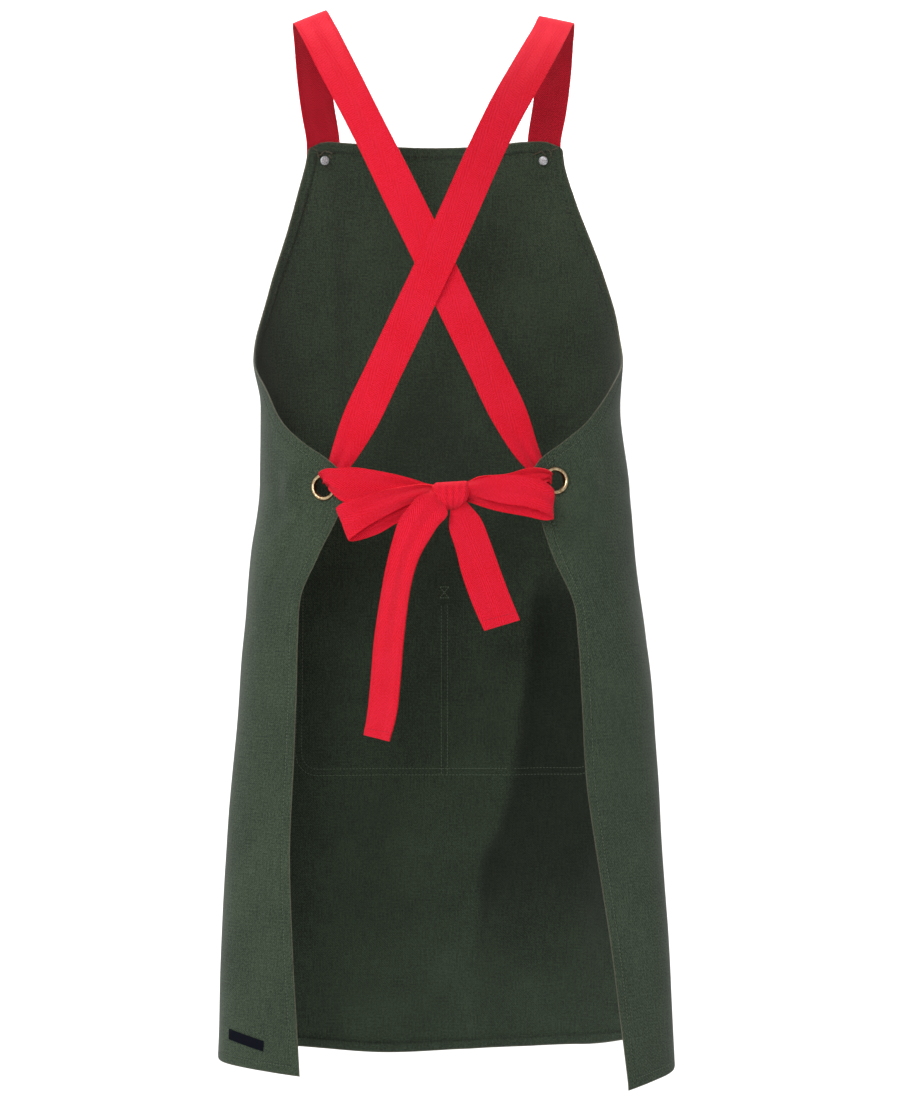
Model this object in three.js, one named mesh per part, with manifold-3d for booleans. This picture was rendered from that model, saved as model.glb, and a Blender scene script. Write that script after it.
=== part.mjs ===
// Cross back apron, worn: one cloth panel held up by two tapes that cross on the back and tie in a bow.
// Millimetres, +Z up. The origin is midway between the straps on top of the shoulders. The chest is
// at +Y and the back at -Y; +X is to the right of somebody who looks at the back.
import * as THREE from 'three';
import { mergeVertices } from 'three/addons/utils/BufferGeometryUtils.js';
import Module from 'manifold-3d';

const wasm = await Module();
wasm.setup();

// Driving dimensions
const touchGap = 0.3;
const neckDrop = 110;
const apronLength = 896;
const wornWidth = 438;
const wornFrontDepth = 122;
const wornBackDepth = 120;
const sideLine = 8;
const sectionPower = 2.4;
const bibTopWidth = 254;
const bibCornerRadius = 5;
const bibRise = 4;
const bibRiseReach = 50;
const panelWidth = 826;
const tipDrop = 345;
const clothThickness = 1.5;
const hemWidth = 10;
const hemThickness = 2.4;
const foldDepth = 5;

const pocketWidth = 304;
const pocketHeight = 187;
const pocketDrop = 436;
const pocketShift = 9;
const pocketCornerRadius = 26;
const pocketThickness = 1.4;
const pocketEase = 2.4;

const strapWidth = 34;
const strapThickness = 1.6;
const strapOverlap = 40;
const shoulderSpan = 236;
const shoulderShift = -1.5;
const leftShoulderRise = 2.5;
const rightShoulderRise = -1.5;
const leftShoulderLean = 0.42;
const rightShoulderLean = 0.24;
const chestSpread = 3;
const bladeDepth = 99;
const bunchWidth = 12;
const bunchThickness = 3;
const crossingSlack = 1;
const leftBunchSwing = 1;
const rightBunchSwing = 10;

const eyeletRim = 26;
const eyeletHole = 18.4;
const eyeletWall = 0.9;
const eyeletLip = 1.1;
const eyeletInset = 24;
const eyeletDrop = 336;
const eyeletOffset = 2.8;
const eyeletPatch = 17;
const eyeletPatchFade = 26;

const leftStudInset = 16;
const rightStudInset = 19;
const studDrop = 15;
const studPost = 3.2;
const studCapWidth = 9.5;
const studCapHeight = 1.6;
const studHeadWidth = 17;
const studHeadHeight = 3.4;

const knotWidth = 36;
const knotHeight = 27;
const knotDepth = 24;
const knotShift = 10;
const knotSink = 11;
const knotStandoff = 14;
const knotTurn = -0.06;
const leftLoopLength = 88;
const rightLoopLength = 85;
const loopLayerGap = 5;
const loopLayerDepth = 2;
const leftTailLength = 220;
const rightTailLength = 115;

const labelWidth = 40;
const labelHeight = 9;
const labelThickness = 0.6;
const labelLift = 21.5;
const labelTilt = 8;

// How finely the curved pieces are cut into flat faces
const middleColumns = 20;
const arcSamples = 96;
const spanSteps = 3;
const roundSides = 20;

// Worn form, row by row down the apron. Widths are shares of half the worn width, depths of the
// front and back depths.
const bodyForm = [
  { down: 0.00, left: 0.80, right: 0.80, front: 0.80, leftBack: 0.75, rightBack: 0.75 },
  { down: 0.08, left: 0.80, right: 0.80, front: 0.885, leftBack: 0.80, rightBack: 0.80 },
  { down: 0.24, left: 0.79, right: 0.818, front: 0.934, leftBack: 0.83, rightBack: 0.83 },
  { down: 0.29, left: 0.755, right: 0.806, front: 0.925, leftBack: 0.86, rightBack: 0.86 },
  { down: 0.37, left: 0.757, right: 0.845, front: 0.90, leftBack: 0.90, rightBack: 0.90 },
  { down: 0.45, left: 0.798, right: 0.875, front: 0.93, leftBack: 0.92, rightBack: 0.92 },
  { down: 0.60, left: 0.851, right: 0.957, front: 0.98, leftBack: 0.95, rightBack: 0.98 },
  { down: 0.78, left: 0.912, right: 1.005, front: 1.00, leftBack: 0.98, rightBack: 1.05 },
  { down: 1.00, left: 0.943, right: 1.045, front: 1.00, leftBack: 1.00, rightBack: 1.25 },
];

// Armhole edge: share of the drop from the bib's corner to the wing tip, and how far round it is.
const armhole = [
  { down: 0.00, left: 0.000, right: 0.000 },
  { down: 0.05, left: 0.014, right: 0.009 },
  { down: 0.16, left: 0.062, right: 0.057 },
  { down: 0.27, left: 0.117, right: 0.125 },
  { down: 0.39, left: 0.193, right: 0.213 },
  { down: 0.51, left: 0.290, right: 0.305 },
  { down: 0.58, left: 0.385, right: 0.375 },
  { down: 0.64, left: 0.490, right: 0.470 },
  { down: 0.69, left: 0.565, right: 0.565 },
  { down: 0.74, left: 0.613, right: 0.630 },
  { down: 0.80, left: 0.688, right: 0.718 },
  { down: 0.86, left: 0.800, right: 0.842 },
  { down: 0.91, left: 0.915, right: 0.950 },
  { down: 0.95, left: 0.975, right: 0.992 },
  { down: 1.00, left: 1.000, right: 1.000 },
];

// Back edge of each wing, from its tip to the hem: shares of half the panel's width.
const backEdge = [
  { down: 0.00, left: 0.898, right: 0.956 },
  { down: 0.05, left: 0.890, right: 0.951 },
  { down: 0.11, left: 0.873, right: 0.941 },
  { down: 0.18, left: 0.852, right: 0.926 },
  { down: 0.25, left: 0.864, right: 0.945 },
  { down: 0.35, left: 0.886, right: 0.975 },
  { down: 0.52, left: 0.920, right: 0.998 },
  { down: 0.75, left: 0.957, right: 0.992 },
  { down: 1.00, left: 1.000, right: 1.000 },
];

// Hem line, from the left wing's back edge (-1) to the right one's (1): how far it rises above the
// lowest point, as a share of the apron's length.
const hemLine = [
  { across: -1.00, rise: 0.012 },
  { across: -0.75, rise: 0.020 },
  { across: -0.60, rise: 0.029 },
  { across: -0.35, rise: 0.010 },
  { across: -0.10, rise: 0.000 },
  { across: 0.10, rise: 0.004 },
  { across: 0.35, rise: 0.010 },
  { across: 0.60, rise: 0.029 },
  { across: 0.75, rise: 0.016 },
  { across: 1.00, rise: -0.002 },
];

// Top edge of the bib, from corner to corner: the straps lift it, and it sags between them. Shares of
// the bib's rise.
const bibLine = [
  { across: -1.00, rise: -0.60 },
  { across: -0.955, rise: 0.30 },
  { across: -0.86, rise: 0.90 },
  { across: -0.70, rise: 0.75 },
  { across: -0.45, rise: 0.15 },
  { across: 0.00, rise: -0.25 },
  { across: 0.45, rise: 0.20 },
  { across: 0.73, rise: 1.05 },
  { across: 0.86, rise: 1.00 },
  { across: 0.95, rise: 0.35 },
  { across: 1.00, rise: -0.50 },
];

// Soft folds: where each one runs, as shares of half the panel's width (top and bottom end) and of
// the apron's length, how wide it is, and its depth as a share of the fold depth, in or out.
const folds = [
  { top: -0.25, bottom: -0.27, from: 0.03, to: 0.42, width: 0.07, depth: -0.7 },
  { top: 0.23, bottom: 0.25, from: 0.03, to: 0.40, width: 0.07, depth: -0.7 },
  { top: 0.27, bottom: 0.17, from: 0.40, to: 0.84, width: 0.08, depth: 0.7 },
  { top: -0.30, bottom: -0.36, from: 0.50, to: 1.30, width: 0.09, depth: 0.7 },
  { top: 0.24, bottom: 0.04, from: 0.70, to: 1.35, width: 0.08, depth: -0.9 },
  { top: 0.42, bottom: 0.32, from: 0.70, to: 1.35, width: 0.08, depth: 0.9 },
  { top: -0.10, bottom: -0.16, from: 0.75, to: 1.35, width: 0.09, depth: -0.6 },
  { top: -0.72, bottom: -0.82, from: 0.42, to: 1.30, width: 0.07, depth: 1.1 },
  { top: -0.60, bottom: -0.64, from: 0.44, to: 1.30, width: 0.08, depth: -1.0 },
  { top: 0.80, bottom: 0.86, from: 0.42, to: 1.30, width: 0.07, depth: 1.1 },
  { top: 0.66, bottom: 0.68, from: 0.44, to: 1.30, width: 0.08, depth: -1.0 },
];

// Value of one column of a table at a place between its rows, on a curve that never overshoots.
function tableValue(table, key, column, at) {
  const last = table.length - 1;
  const clamped = THREE.MathUtils.clamp(at, table[0][key], table[last][key]);
  let row = 0;
  while (row < last - 1 && clamped > table[row + 1][key]) row += 1;
  const slope = (i) => (table[i + 1][column] - table[i][column]) / (table[i + 1][key] - table[i][key]);
  const tangent = (i) => {
    if (i === 0) return slope(0);
    if (i === last) return slope(last - 1);
    const before = slope(i - 1);
    const after = slope(i);
    return before * after <= 0 ? 0 : (2 * before * after) / (before + after);
  };
  const length = table[row + 1][key] - table[row][key];
  const t = (clamped - table[row][key]) / length;
  return (
    table[row][column] * (1 + 2 * t) * (1 - t) ** 2 +
    tangent(row) * length * t * (1 - t) ** 2 +
    table[row + 1][column] * t * t * (3 - 2 * t) -
    tangent(row + 1) * length * t * t * (1 - t)
  );
}

// Worn form

// Point of the body's section at one height. The angle runs from the front centre, right side first.
function sectionPoint(form, angle) {
  const side = angle < 0 ? 'left' : 'right';
  const turn = Math.abs(angle);
  const power = 2 / sectionPower;
  const depth = turn < Math.PI / 2 ? form.front : form[`${side}Back`];
  const x = Math.sign(angle) * form[side] * Math.sin(turn) ** power;
  const y = sideLine + depth * Math.sign(Math.cos(turn)) * Math.abs(Math.cos(turn)) ** power;
  return [x, y];
}

function formAt(down) {
  const share = down / apronLength;
  const value = (column) => tableValue(bodyForm, 'down', column, share);
  return {
    left: (value('left') * wornWidth) / 2,
    right: (value('right') * wornWidth) / 2,
    front: value('front') * wornFrontDepth,
    leftBack: value('leftBack') * wornBackDepth,
    rightBack: value('rightBack') * wornBackDepth,
  };
}

// Place on the bare form: `around` millimetres round from the front centre, `down` below the bib's top.
function formPoint(around, down) {
  const form = formAt(down);
  const sign = around < 0 ? -1 : 1;
  const wanted = Math.abs(around);
  let walked = 0;
  let before = sectionPoint(form, 0);
  for (let i = 1; i <= arcSamples; i += 1) {
    const next = sectionPoint(form, (sign * Math.PI * i) / arcSamples);
    const step = Math.hypot(next[0] - before[0], next[1] - before[1]);
    if (walked + step >= wanted || i === arcSamples) {
      const t = (wanted - walked) / step;
      const x = before[0] + (next[0] - before[0]) * t;
      const y = before[1] + (next[1] - before[1]) * t;
      return new THREE.Vector3(x, y, -neckDrop - down);
    }
    walked += step;
    before = next;
  }
  return null;
}

function outward(point, around, down) {
  const reach = 1;
  const across = point(around + reach, down).sub(point(around - reach, down));
  const along = point(around, down + reach).sub(point(around, down - reach));
  return across.cross(along).normalize();
}

// Each eyelet lies on a flat patch of its wing, and the folds die out towards it.
const sides = [
  {
    name: 'left',
    sign: -1,
    swing: leftBunchSwing,
    studInset: leftStudInset,
    shoulderRise: leftShoulderRise,
    shoulderLean: leftShoulderLean,
  },
  {
    name: 'right',
    sign: 1,
    swing: rightBunchSwing,
    studInset: rightStudInset,
    shoulderRise: rightShoulderRise,
    shoulderLean: rightShoulderLean,
  },
];
for (const side of sides) {
  side.tipAround = side.sign * backEdge[0][side.name] * (panelWidth / 2);
  side.eyeletAround = side.tipAround - side.sign * eyeletInset;
  side.eyeletDown = eyeletDrop - side.sign * eyeletOffset;
  side.eyelet = formPoint(side.eyeletAround, side.eyeletDown);
  side.eyeletAxis = outward(formPoint, side.eyeletAround, side.eyeletDown);
}

const flatReach = eyeletRim / 2 + eyeletPatch;

function foldOffset(around, down) {
  const share = down / apronLength;
  let offset = 0;
  for (const fold of folds) {
    const along = (share - fold.from) / (fold.to - fold.from);
    if (along <= 0 || along >= 1) continue;
    const middle = THREE.MathUtils.lerp(fold.top, fold.bottom, along) * (panelWidth / 2);
    const aside = (around - middle) / (fold.width * (panelWidth / 2));
    offset += fold.depth * foldDepth * Math.sin(Math.PI * along) * Math.exp(-aside * aside);
  }
  return offset;
}

function panelPoint(around, down) {
  const place = formPoint(around, down);
  const side = around < 0 ? sides[0] : sides[1];
  const away = place.clone().sub(side.eyelet);
  const height = away.dot(side.eyeletAxis);
  const flat = 1 - THREE.MathUtils.smoothstep(away.length(), flatReach, flatReach + eyeletPatchFade);
  place.addScaledVector(side.eyeletAxis, -height * flat);
  const normal = outward(formPoint, around, down);
  return place.addScaledVector(normal, foldOffset(around, down) * (1 - flat));
}

const panelNormal = (around, down) => outward(panelPoint, around, down);

// Edge of the panel on one side at a height, as a distance round from the front centre.
function edgeAround(side, down) {
  const corner = bibTopWidth / 2;
  const tip = Math.abs(side.tipAround);
  if (down < tipDrop) {
    const out = tableValue(armhole, 'down', side.name, down / tipDrop);
    const rounding = Math.max(0, bibCornerRadius - down);
    const cut = bibCornerRadius - Math.sqrt(bibCornerRadius ** 2 - rounding ** 2);
    return side.sign * (corner + (tip - corner) * out - cut);
  }
  const share = (down - tipDrop) / (apronLength - tipDrop);
  return side.sign * tableValue(backEdge, 'down', side.name, share) * (panelWidth / 2);
}

// Closed geometry from rings or grids of points

function closedMesh(points, faces) {
  const geometry = new THREE.BufferGeometry();
  geometry.setAttribute('position', new THREE.Float32BufferAttribute(points.flatMap((p) => p.toArray()), 3));
  geometry.setIndex(faces.flat());
  return geometry;
}

// A wall between two grids of points, outer and inner, closed round its four sides. Each quad is
// split along its shorter diagonal, so that a slanting grid still gives a smooth surface.
function wall(outer, inner) {
  const rows = outer.length;
  const columns = outer[0].length;
  const points = [...outer.flat(), ...inner.flat()];
  const inside = rows * columns;
  const at = (row, column) => row * columns + column;
  const faces = [];
  const quad = (a, b, c, d) => {
    const straight = points[a].distanceToSquared(points[c]) <= points[b].distanceToSquared(points[d]);
    faces.push(...(straight ? [[a, b, c], [a, c, d]] : [[a, b, d], [b, c, d]]));
  };
  for (let i = 0; i < rows - 1; i += 1) {
    for (let j = 0; j < columns - 1; j += 1) {
      const [a, b, c, d] = [at(i, j), at(i, j + 1), at(i + 1, j + 1), at(i + 1, j)];
      quad(a, b, c, d);
      quad(inside + a, inside + d, inside + c, inside + b);
    }
  }
  for (let j = 0; j < columns - 1; j += 1) {
    const [top, bottom] = [at(0, j), at(rows - 1, j)];
    quad(top, inside + top, inside + top + 1, top + 1);
    quad(bottom, bottom + 1, inside + bottom + 1, inside + bottom);
  }
  for (let i = 0; i < rows - 1; i += 1) {
    const [left, right] = [at(i, 0), at(i, columns - 1)];
    const [leftNext, rightNext] = [at(i + 1, 0), at(i + 1, columns - 1)];
    quad(left, leftNext, inside + leftNext, inside + left);
    quad(right, inside + right, inside + rightNext, rightNext);
  }
  return closedMesh(points, faces);
}

function toSolid(geometry) {
  const bare = geometry.clone();
  bare.deleteAttribute('normal');
  bare.deleteAttribute('uv');
  const merged = mergeVertices(bare, 1e-4);
  return new wasm.Manifold(
    new wasm.Mesh({
      numProp: 3,
      vertProperties: new Float32Array(merged.attributes.position.array),
      triVerts: new Uint32Array(merged.index.array),
    }),
  );
}

function toGeometry(solid) {
  const mesh = solid.getMesh();
  const geometry = new THREE.BufferGeometry();
  geometry.setAttribute('position', new THREE.BufferAttribute(mesh.vertProperties, 3));
  geometry.setIndex(new THREE.BufferAttribute(mesh.triVerts, 1));
  return geometry;
}

// Solid turned round an axis, from a closed outline of radius and height pairs.
function turned(outline, origin, axis) {
  const profile = [...outline, outline[0]].map(([radius, height]) => new THREE.Vector2(radius, height));
  const geometry = new THREE.LatheGeometry(profile, roundSides);
  const turn = new THREE.Quaternion().setFromUnitVectors(new THREE.Vector3(0, 1, 0), axis);
  geometry.applyQuaternion(turn);
  geometry.translate(origin.x, origin.y, origin.z);
  return geometry;
}

// Cloth panel: rows of points down the apron, columns round it, with a thicker hem on every edge

const hemStep = 0.6;
const besideHem = [2.2, 3.3, 4.5].map((share) => share * hemWidth);
const edgeColumns = [0, hemWidth - hemStep, hemWidth + hemStep, ...besideHem];
const rowsToTip = [0.07, 0.13, 0.20, 0.28, 0.36, 0.44, 0.51, 0.57, 0.62, 0.66, 0.70, 0.74, 0.78,
  0.82, 0.86, 0.89, 0.92, 0.945, 0.97];
const rowsBelowTip = 15;

function rowDrops() {
  const drops = [0, 0.28 * bibCornerRadius, 0.64 * bibCornerRadius, hemWidth - hemStep, hemWidth + hemStep];
  rowsToTip.forEach((share) => drops.push(share * tipDrop));
  const start = tipDrop;
  const end = apronLength - hemWidth - hemStep;
  for (let i = 0; i <= rowsBelowTip; i += 1) {
    const share = i / rowsBelowTip;
    drops.push(THREE.MathUtils.lerp(start, end, 0.35 * share + 0.65 * share ** 1.4));
  }
  drops.push(apronLength - hemWidth + hemStep, apronLength);
  return drops;
}

function panelGrid(extra) {
  const outer = [];
  const inner = [];
  for (const drop of rowDrops()) {
    const [left, right] = sides.map((side) => edgeAround(side, drop));
    const slopes = sides.map((side) => {
      const change = (edgeAround(side, drop + 2) - edgeAround(side, Math.max(0, drop - 2))) / 4;
      return Math.min(1.8, Math.hypot(1, change));
    });
    const places = [];
    edgeColumns.forEach((inset) => places.push({ around: left + inset * slopes[0], hem: inset < hemWidth }));
    const from = left + edgeColumns[edgeColumns.length - 1] * slopes[0];
    const to = right - edgeColumns[edgeColumns.length - 1] * slopes[1];
    for (let i = 1; i < middleColumns; i += 1) {
      places.push({ around: from + ((to - from) * i) / middleColumns, hem: false });
    }
    [...edgeColumns].reverse().forEach((inset) => {
      places.push({ around: right - inset * slopes[1], hem: inset < hemWidth });
    });
    const hemRow = drop < hemWidth || drop > apronLength - hemWidth;
    const outerRow = [];
    const innerRow = [];
    for (const place of places) {
      const across = place.around / (place.around < 0 ? -left : right);
      const rise = tableValue(hemLine, 'across', 'rise', across) * apronLength;
      const lifted = bibRise * tableValue(bibLine, 'across', 'rise', across);
      const lift = lifted * (1 - THREE.MathUtils.smoothstep(drop, 0, bibRiseReach));
      const down = drop - lift - (rise * Math.max(0, drop - tipDrop)) / (apronLength - tipDrop);
      const point = panelPoint(place.around, down);
      const normal = panelNormal(place.around, down);
      const inward = place.hem || hemRow ? hemThickness - clothThickness / 2 : clothThickness / 2;
      outerRow.push(point.clone().addScaledVector(normal, clothThickness / 2 + extra));
      innerRow.push(point.clone().addScaledVector(normal, -inward - extra));
    }
    outer.push(outerRow);
    inner.push(innerRow);
  }
  return wall(outer, inner);
}

const panelBody = toSolid(panelGrid(0));
const panelKeepOut = toSolid(panelGrid(touchGap));

// Eyelets: a barrel through the hem of each wing tip with a rolled rim outside and a washer inside

const barrelRadius = eyeletHole / 2 + eyeletWall;
const rimRadius = eyeletRim / 2;
const channelOut = clothThickness / 2 + touchGap;
const channelIn = -(hemThickness - clothThickness / 2) - touchGap;

const eyeletOutline = [
  [eyeletHole / 2, channelIn - eyeletLip],
  [rimRadius - eyeletWall, channelIn - eyeletLip],
  [rimRadius, channelIn],
  [barrelRadius, channelIn],
  [barrelRadius, channelOut],
  [rimRadius, channelOut],
  [rimRadius - eyeletWall, channelOut + eyeletLip],
  [barrelRadius + eyeletWall, channelOut + eyeletLip * 1.6],
  [eyeletHole / 2, channelOut + eyeletLip],
];
const eyeletRoom = [
  [0, channelIn - eyeletLip - touchGap],
  [rimRadius + touchGap, channelIn - eyeletLip - touchGap],
  [rimRadius + touchGap, channelIn + touchGap],
  [barrelRadius + touchGap, channelIn + touchGap],
  [barrelRadius + touchGap, channelOut - touchGap],
  [rimRadius + touchGap, channelOut - touchGap],
  [rimRadius + touchGap, channelOut + 2 * eyeletLip],
  [0, channelOut + 2 * eyeletLip],
];

let panelSolid = panelBody;
for (const side of sides) {
  side.eyeletSolid = turned(eyeletOutline, side.eyelet, side.eyeletAxis);
  side.eyeletRoomSolid = toSolid(turned(eyeletRoom, side.eyelet, side.eyeletAxis));
  panelSolid = panelSolid.subtract(side.eyeletRoomSolid);
}
const strapRoom = sides.reduce((room, side) => room.subtract(side.eyeletRoomSolid), panelKeepOut);

// Room for a strap past the rim and the washer of the eyelet that it runs through
const eyeletSkin = eyeletOutline.map(([radius, height]) => [
  radius === eyeletHole / 2 ? radius - touchGap : radius + touchGap,
  height + Math.sign(height) * touchGap,
]);
for (const side of sides) {
  side.rimRoom = toSolid(turned(eyeletSkin, side.eyelet, side.eyeletAxis));
}

// Flat tape along a smooth line. Each station has a place, the way its outer face looks, and a width
// and thickness.
function tape(stations, steps, grow = 0) {
  const line = new THREE.CatmullRomCurve3(stations.map((s) => s.at), false, 'centripetal');
  const count = (stations.length - 1) * steps;
  const rings = [];
  for (let i = 0; i <= count; i += 1) {
    const t = i / count;
    const span = Math.min(stations.length - 2, Math.floor(t * (stations.length - 1)));
    const blend = t * (stations.length - 1) - span;
    const [from, to] = [stations[span], stations[span + 1]];
    const width = THREE.MathUtils.lerp(from.width, to.width, blend) / 2 + grow;
    const thick = THREE.MathUtils.lerp(from.thick, to.thick, blend) / 2 + grow;
    const place = line.getPoint(t);
    const tangent = line.getTangent(t);
    const face = from.face.clone().lerp(to.face, blend);
    const across = tangent.clone().cross(face).normalize();
    const normal = across.clone().cross(tangent).normalize();
    rings.push(
      [[-1, 1], [1, 1], [1, -1], [-1, -1]].map(([a, n]) =>
        place.clone().addScaledVector(across, a * width).addScaledVector(normal, n * thick),
      ),
    );
  }
  const faces = [];
  for (let i = 0; i < count; i += 1) {
    for (let k = 0; k < 4; k += 1) {
      const [a, b] = [4 * i + k, 4 * i + ((k + 1) % 4)];
      faces.push([a, b, b + 4], [a, b + 4, a + 4]);
    }
  }
  const end = 4 * count;
  faces.push([0, 2, 1], [0, 3, 2], [end, end + 1, end + 2], [end, end + 2, end + 3]);
  return closedMesh(rings.flat(), faces);
}

const vector = (x, y, z) => new THREE.Vector3(x, y, z);

// Knot of the bow, a little below and outside the line between the two eyelets
const eyeletMiddle = sides[0].eyelet.clone().add(sides[1].eyelet).multiplyScalar(0.5);
const knotCentre = vector(
  eyeletMiddle.x + knotShift,
  eyeletMiddle.y - knotStandoff - knotDepth / 2,
  eyeletMiddle.z - knotSink,
);

function knotShape(grow) {
  const ball = new THREE.SphereGeometry(1, 20, 14);
  const places = ball.attributes.position;
  const box = (value, power) => Math.sign(value) * Math.abs(value) ** power;
  for (let i = 0; i < places.count; i += 1) {
    const point = vector(places.getX(i), places.getY(i), places.getZ(i));
    const pinch = 1 - 0.14 * Math.abs(point.x) ** 3;
    places.setXYZ(
      i,
      box(point.x, 0.62) * (knotWidth / 2 + grow),
      box(-point.z, 0.7) * (knotDepth / 2 + grow) * pinch,
      box(point.y, 0.7) * (knotHeight / 2 + grow) * pinch,
    );
  }
  ball.rotateY(knotTurn);
  ball.translate(knotCentre.x, knotCentre.y, knotCentre.z);
  return ball;
}

const knotBody = toSolid(knotShape(0));
const knotRoom = toSolid(knotShape(touchGap));

// Straps: from under the bib's outer face over the shoulder, straight across the back, out through
// the eyelet of the other wing and round to the knot. The strap of the right shoulder lies on top.
const strapSeat = clothThickness / 2 + touchGap + strapThickness / 2;

// Rise of the front stretch, as shares of the way back to the shoulder and of the way down to the bib,
// and how much it spreads sideways.
const chestRun = [
  { back: 0.87, down: 0.72, spread: 0.7 },
  { back: 0.70, down: 0.46, spread: 1.0 },
  { back: 0.38, down: 0.17, spread: 0.6 },
];

// Upper back, from the shoulder to the crossing: share of the way to the eyelet, and how far back.
const backRun = [
  { along: 0.035, back: 0.20, lean: 0.0 },
  { along: 0.115, back: 0.50, lean: 0.10 },
  { along: 0.21, back: 0.78, lean: 0.22 },
  { along: 0.31, back: 0.92, lean: 0.22 },
  { along: 0.42, back: 0.985, lean: 0.10 },
  { along: 0.53, back: 1.0, lean: 0.0 },
];
const tautRun = [
  { along: 0.64, lean: 0.0 },
  { along: 0.76, lean: 0.14 },
  { along: 0.86, lean: 0.20 },
  { along: 0.94, lean: 0.20 },
];

function strapStations(from, to, layer) {
  const stations = [];
  const add = (at, face, width = strapWidth, thick = strapThickness) => {
    stations.push({ at, face, width, thick });
  };
  const shoulder = vector((from.sign * shoulderSpan) / 2 + shoulderShift, 0, from.shoulderRise);
  const seat = (down) => {
    const normal = panelNormal(from.studAround, down);
    return { at: panelPoint(from.studAround, down).addScaledVector(normal, strapSeat), face: normal };
  };
  for (const down of [strapOverlap, studDrop, -bibRise]) {
    const { at, face } = seat(down);
    add(at, face);
  }
  const corner = stations[stations.length - 1].at;
  for (const { back, down, spread } of chestRun) {
    const side = THREE.MathUtils.lerp(shoulder.x, corner.x, down) + from.sign * chestSpread * spread;
    const level = THREE.MathUtils.lerp(shoulder.z, corner.z, down);
    const face = vector(from.sign * from.shoulderLean, 0.25 + back, 1.1 - back);
    add(vector(side, corner.y * back, level), face);
  }
  add(shoulder, vector(from.sign * from.shoulderLean, 0, 1));
  const inner = to.eyelet.clone().addScaledVector(to.eyeletAxis, channelIn - eyeletLip - bunchThickness);
  const landing = inner.x - to.sign * to.swing;
  const across = (along) => THREE.MathUtils.lerp(shoulder.x, landing, along);
  const level = (along) => THREE.MathUtils.lerp(shoulder.z, inner.z, along);
  for (const { along, back, lean } of backRun) {
    const depth = -(bladeDepth + layer) * back;
    add(vector(across(along), depth, level(along)), vector(from.sign * lean, -0.1 - back, 1 - back));
  }
  const crossing = stations[stations.length - 1].at;
  const crossed = backRun[backRun.length - 1].along;
  for (const { along, lean } of tautRun) {
    const share = (along - crossed) / (1 - crossed);
    const depth = THREE.MathUtils.lerp(crossing.y, inner.y, share);
    const width = THREE.MathUtils.lerp(strapWidth, bunchWidth, THREE.MathUtils.smoothstep(along, 0.88, 1));
    add(vector(across(along), depth, level(along)), vector(to.sign * lean, -1, 0), width);
  }
  const run = inner.clone().sub(stations[stations.length - 1].at).normalize();
  const home = vector(knotCentre.x, knotCentre.y, knotCentre.z).sub(to.eyelet).normalize();
  const bend = bunchThickness * 0.8;
  add(inner.clone().addScaledVector(run, -bend), run.clone().multiplyScalar(-0.3).add(to.eyeletAxis),
    bunchWidth, bunchThickness);
  const middle = to.eyelet.clone().addScaledVector(to.eyeletAxis, (channelIn + channelOut) / 2);
  add(middle, home.clone().sub(run), bunchWidth, bunchThickness);
  const clear = channelOut + 1.6 * eyeletLip + bunchThickness / 2 + 4 * touchGap;
  const away = (reach, lift) =>
    to.eyelet.clone().addScaledVector(to.eyeletAxis, clear + lift).addScaledVector(home, reach);
  add(away(0.25 * bunchWidth, 0), home.clone().multiplyScalar(0.4).sub(to.eyeletAxis),
    bunchWidth * 1.1, bunchThickness);
  add(away(0.41 * strapWidth, 0.33 * bunchThickness), to.eyeletAxis.clone().negate(),
    strapWidth * 0.62, bunchThickness * 0.8);
  const start = away(0.8 * strapWidth, 0.83 * bunchThickness);
  add(start, vector(0, 1, 0), strapWidth * 0.86, strapThickness);
  const goal = vector(knotCentre.x, knotCentre.y + 0.29 * knotDepth, knotCentre.z + 0.055 * knotHeight);
  for (const [share, width] of [[0.38, 0.98], [0.68, 0.86], [0.88, 0.56], [1, 0.5]]) {
    add(start.clone().lerp(goal, share), vector(0, 1, 0), strapWidth * width);
  }
  return stations;
}

// Studs: a nail cap on the inside, a post through cloth and strap, and a domed head on the outside
const studIn = -(hemThickness - clothThickness / 2) - touchGap;
const studOut = clothThickness / 2 + strapThickness + 3 * touchGap;
const studOutline = [
  [0, studIn - studCapHeight],
  [0.35 * studCapWidth, studIn - studCapHeight],
  [studCapWidth / 2, studIn - studCapHeight * 0.4],
  [studCapWidth / 2, studIn],
  [studPost / 2, studIn],
  [studPost / 2, studOut],
  [studHeadWidth / 2, studOut],
  [studHeadWidth / 2, studOut + studHeadHeight * 0.45],
  [0.37 * studHeadWidth, studOut + studHeadHeight],
  [0, studOut + studHeadHeight * 0.8],
];
const postRoom = [
  [0, studIn - studPost],
  [studPost / 2 + touchGap, studIn - studPost],
  [studPost / 2 + touchGap, studOut + studPost],
  [0, studOut + studPost],
];

for (const side of sides) {
  side.studAround = side.sign * (bibTopWidth / 2 - side.studInset);
  side.stud = panelPoint(side.studAround, studDrop);
  side.studAxis = panelNormal(side.studAround, studDrop);
  side.studSolid = turned(studOutline, side.stud, side.studAxis);
  side.postSolid = toSolid(turned(postRoom, side.stud, side.studAxis));
  panelSolid = panelSolid.subtract(side.postSolid);
}

// Each strap clears the cloth panel, its stud's post, the knot, and the strap that lies under it.
const [leftSide, rightSide] = sides;
const crossingLift = strapThickness + touchGap + crossingSlack;
const underRun = strapStations(leftSide, rightSide, 0);
const overRun = strapStations(rightSide, leftSide, crossingLift);

function strapBody(stations, from, to) {
  const body = toSolid(tape(stations, spanSteps));
  return body.subtract(strapRoom).subtract(from.postSolid).subtract(to.rimRoom).subtract(knotRoom);
}

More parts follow.
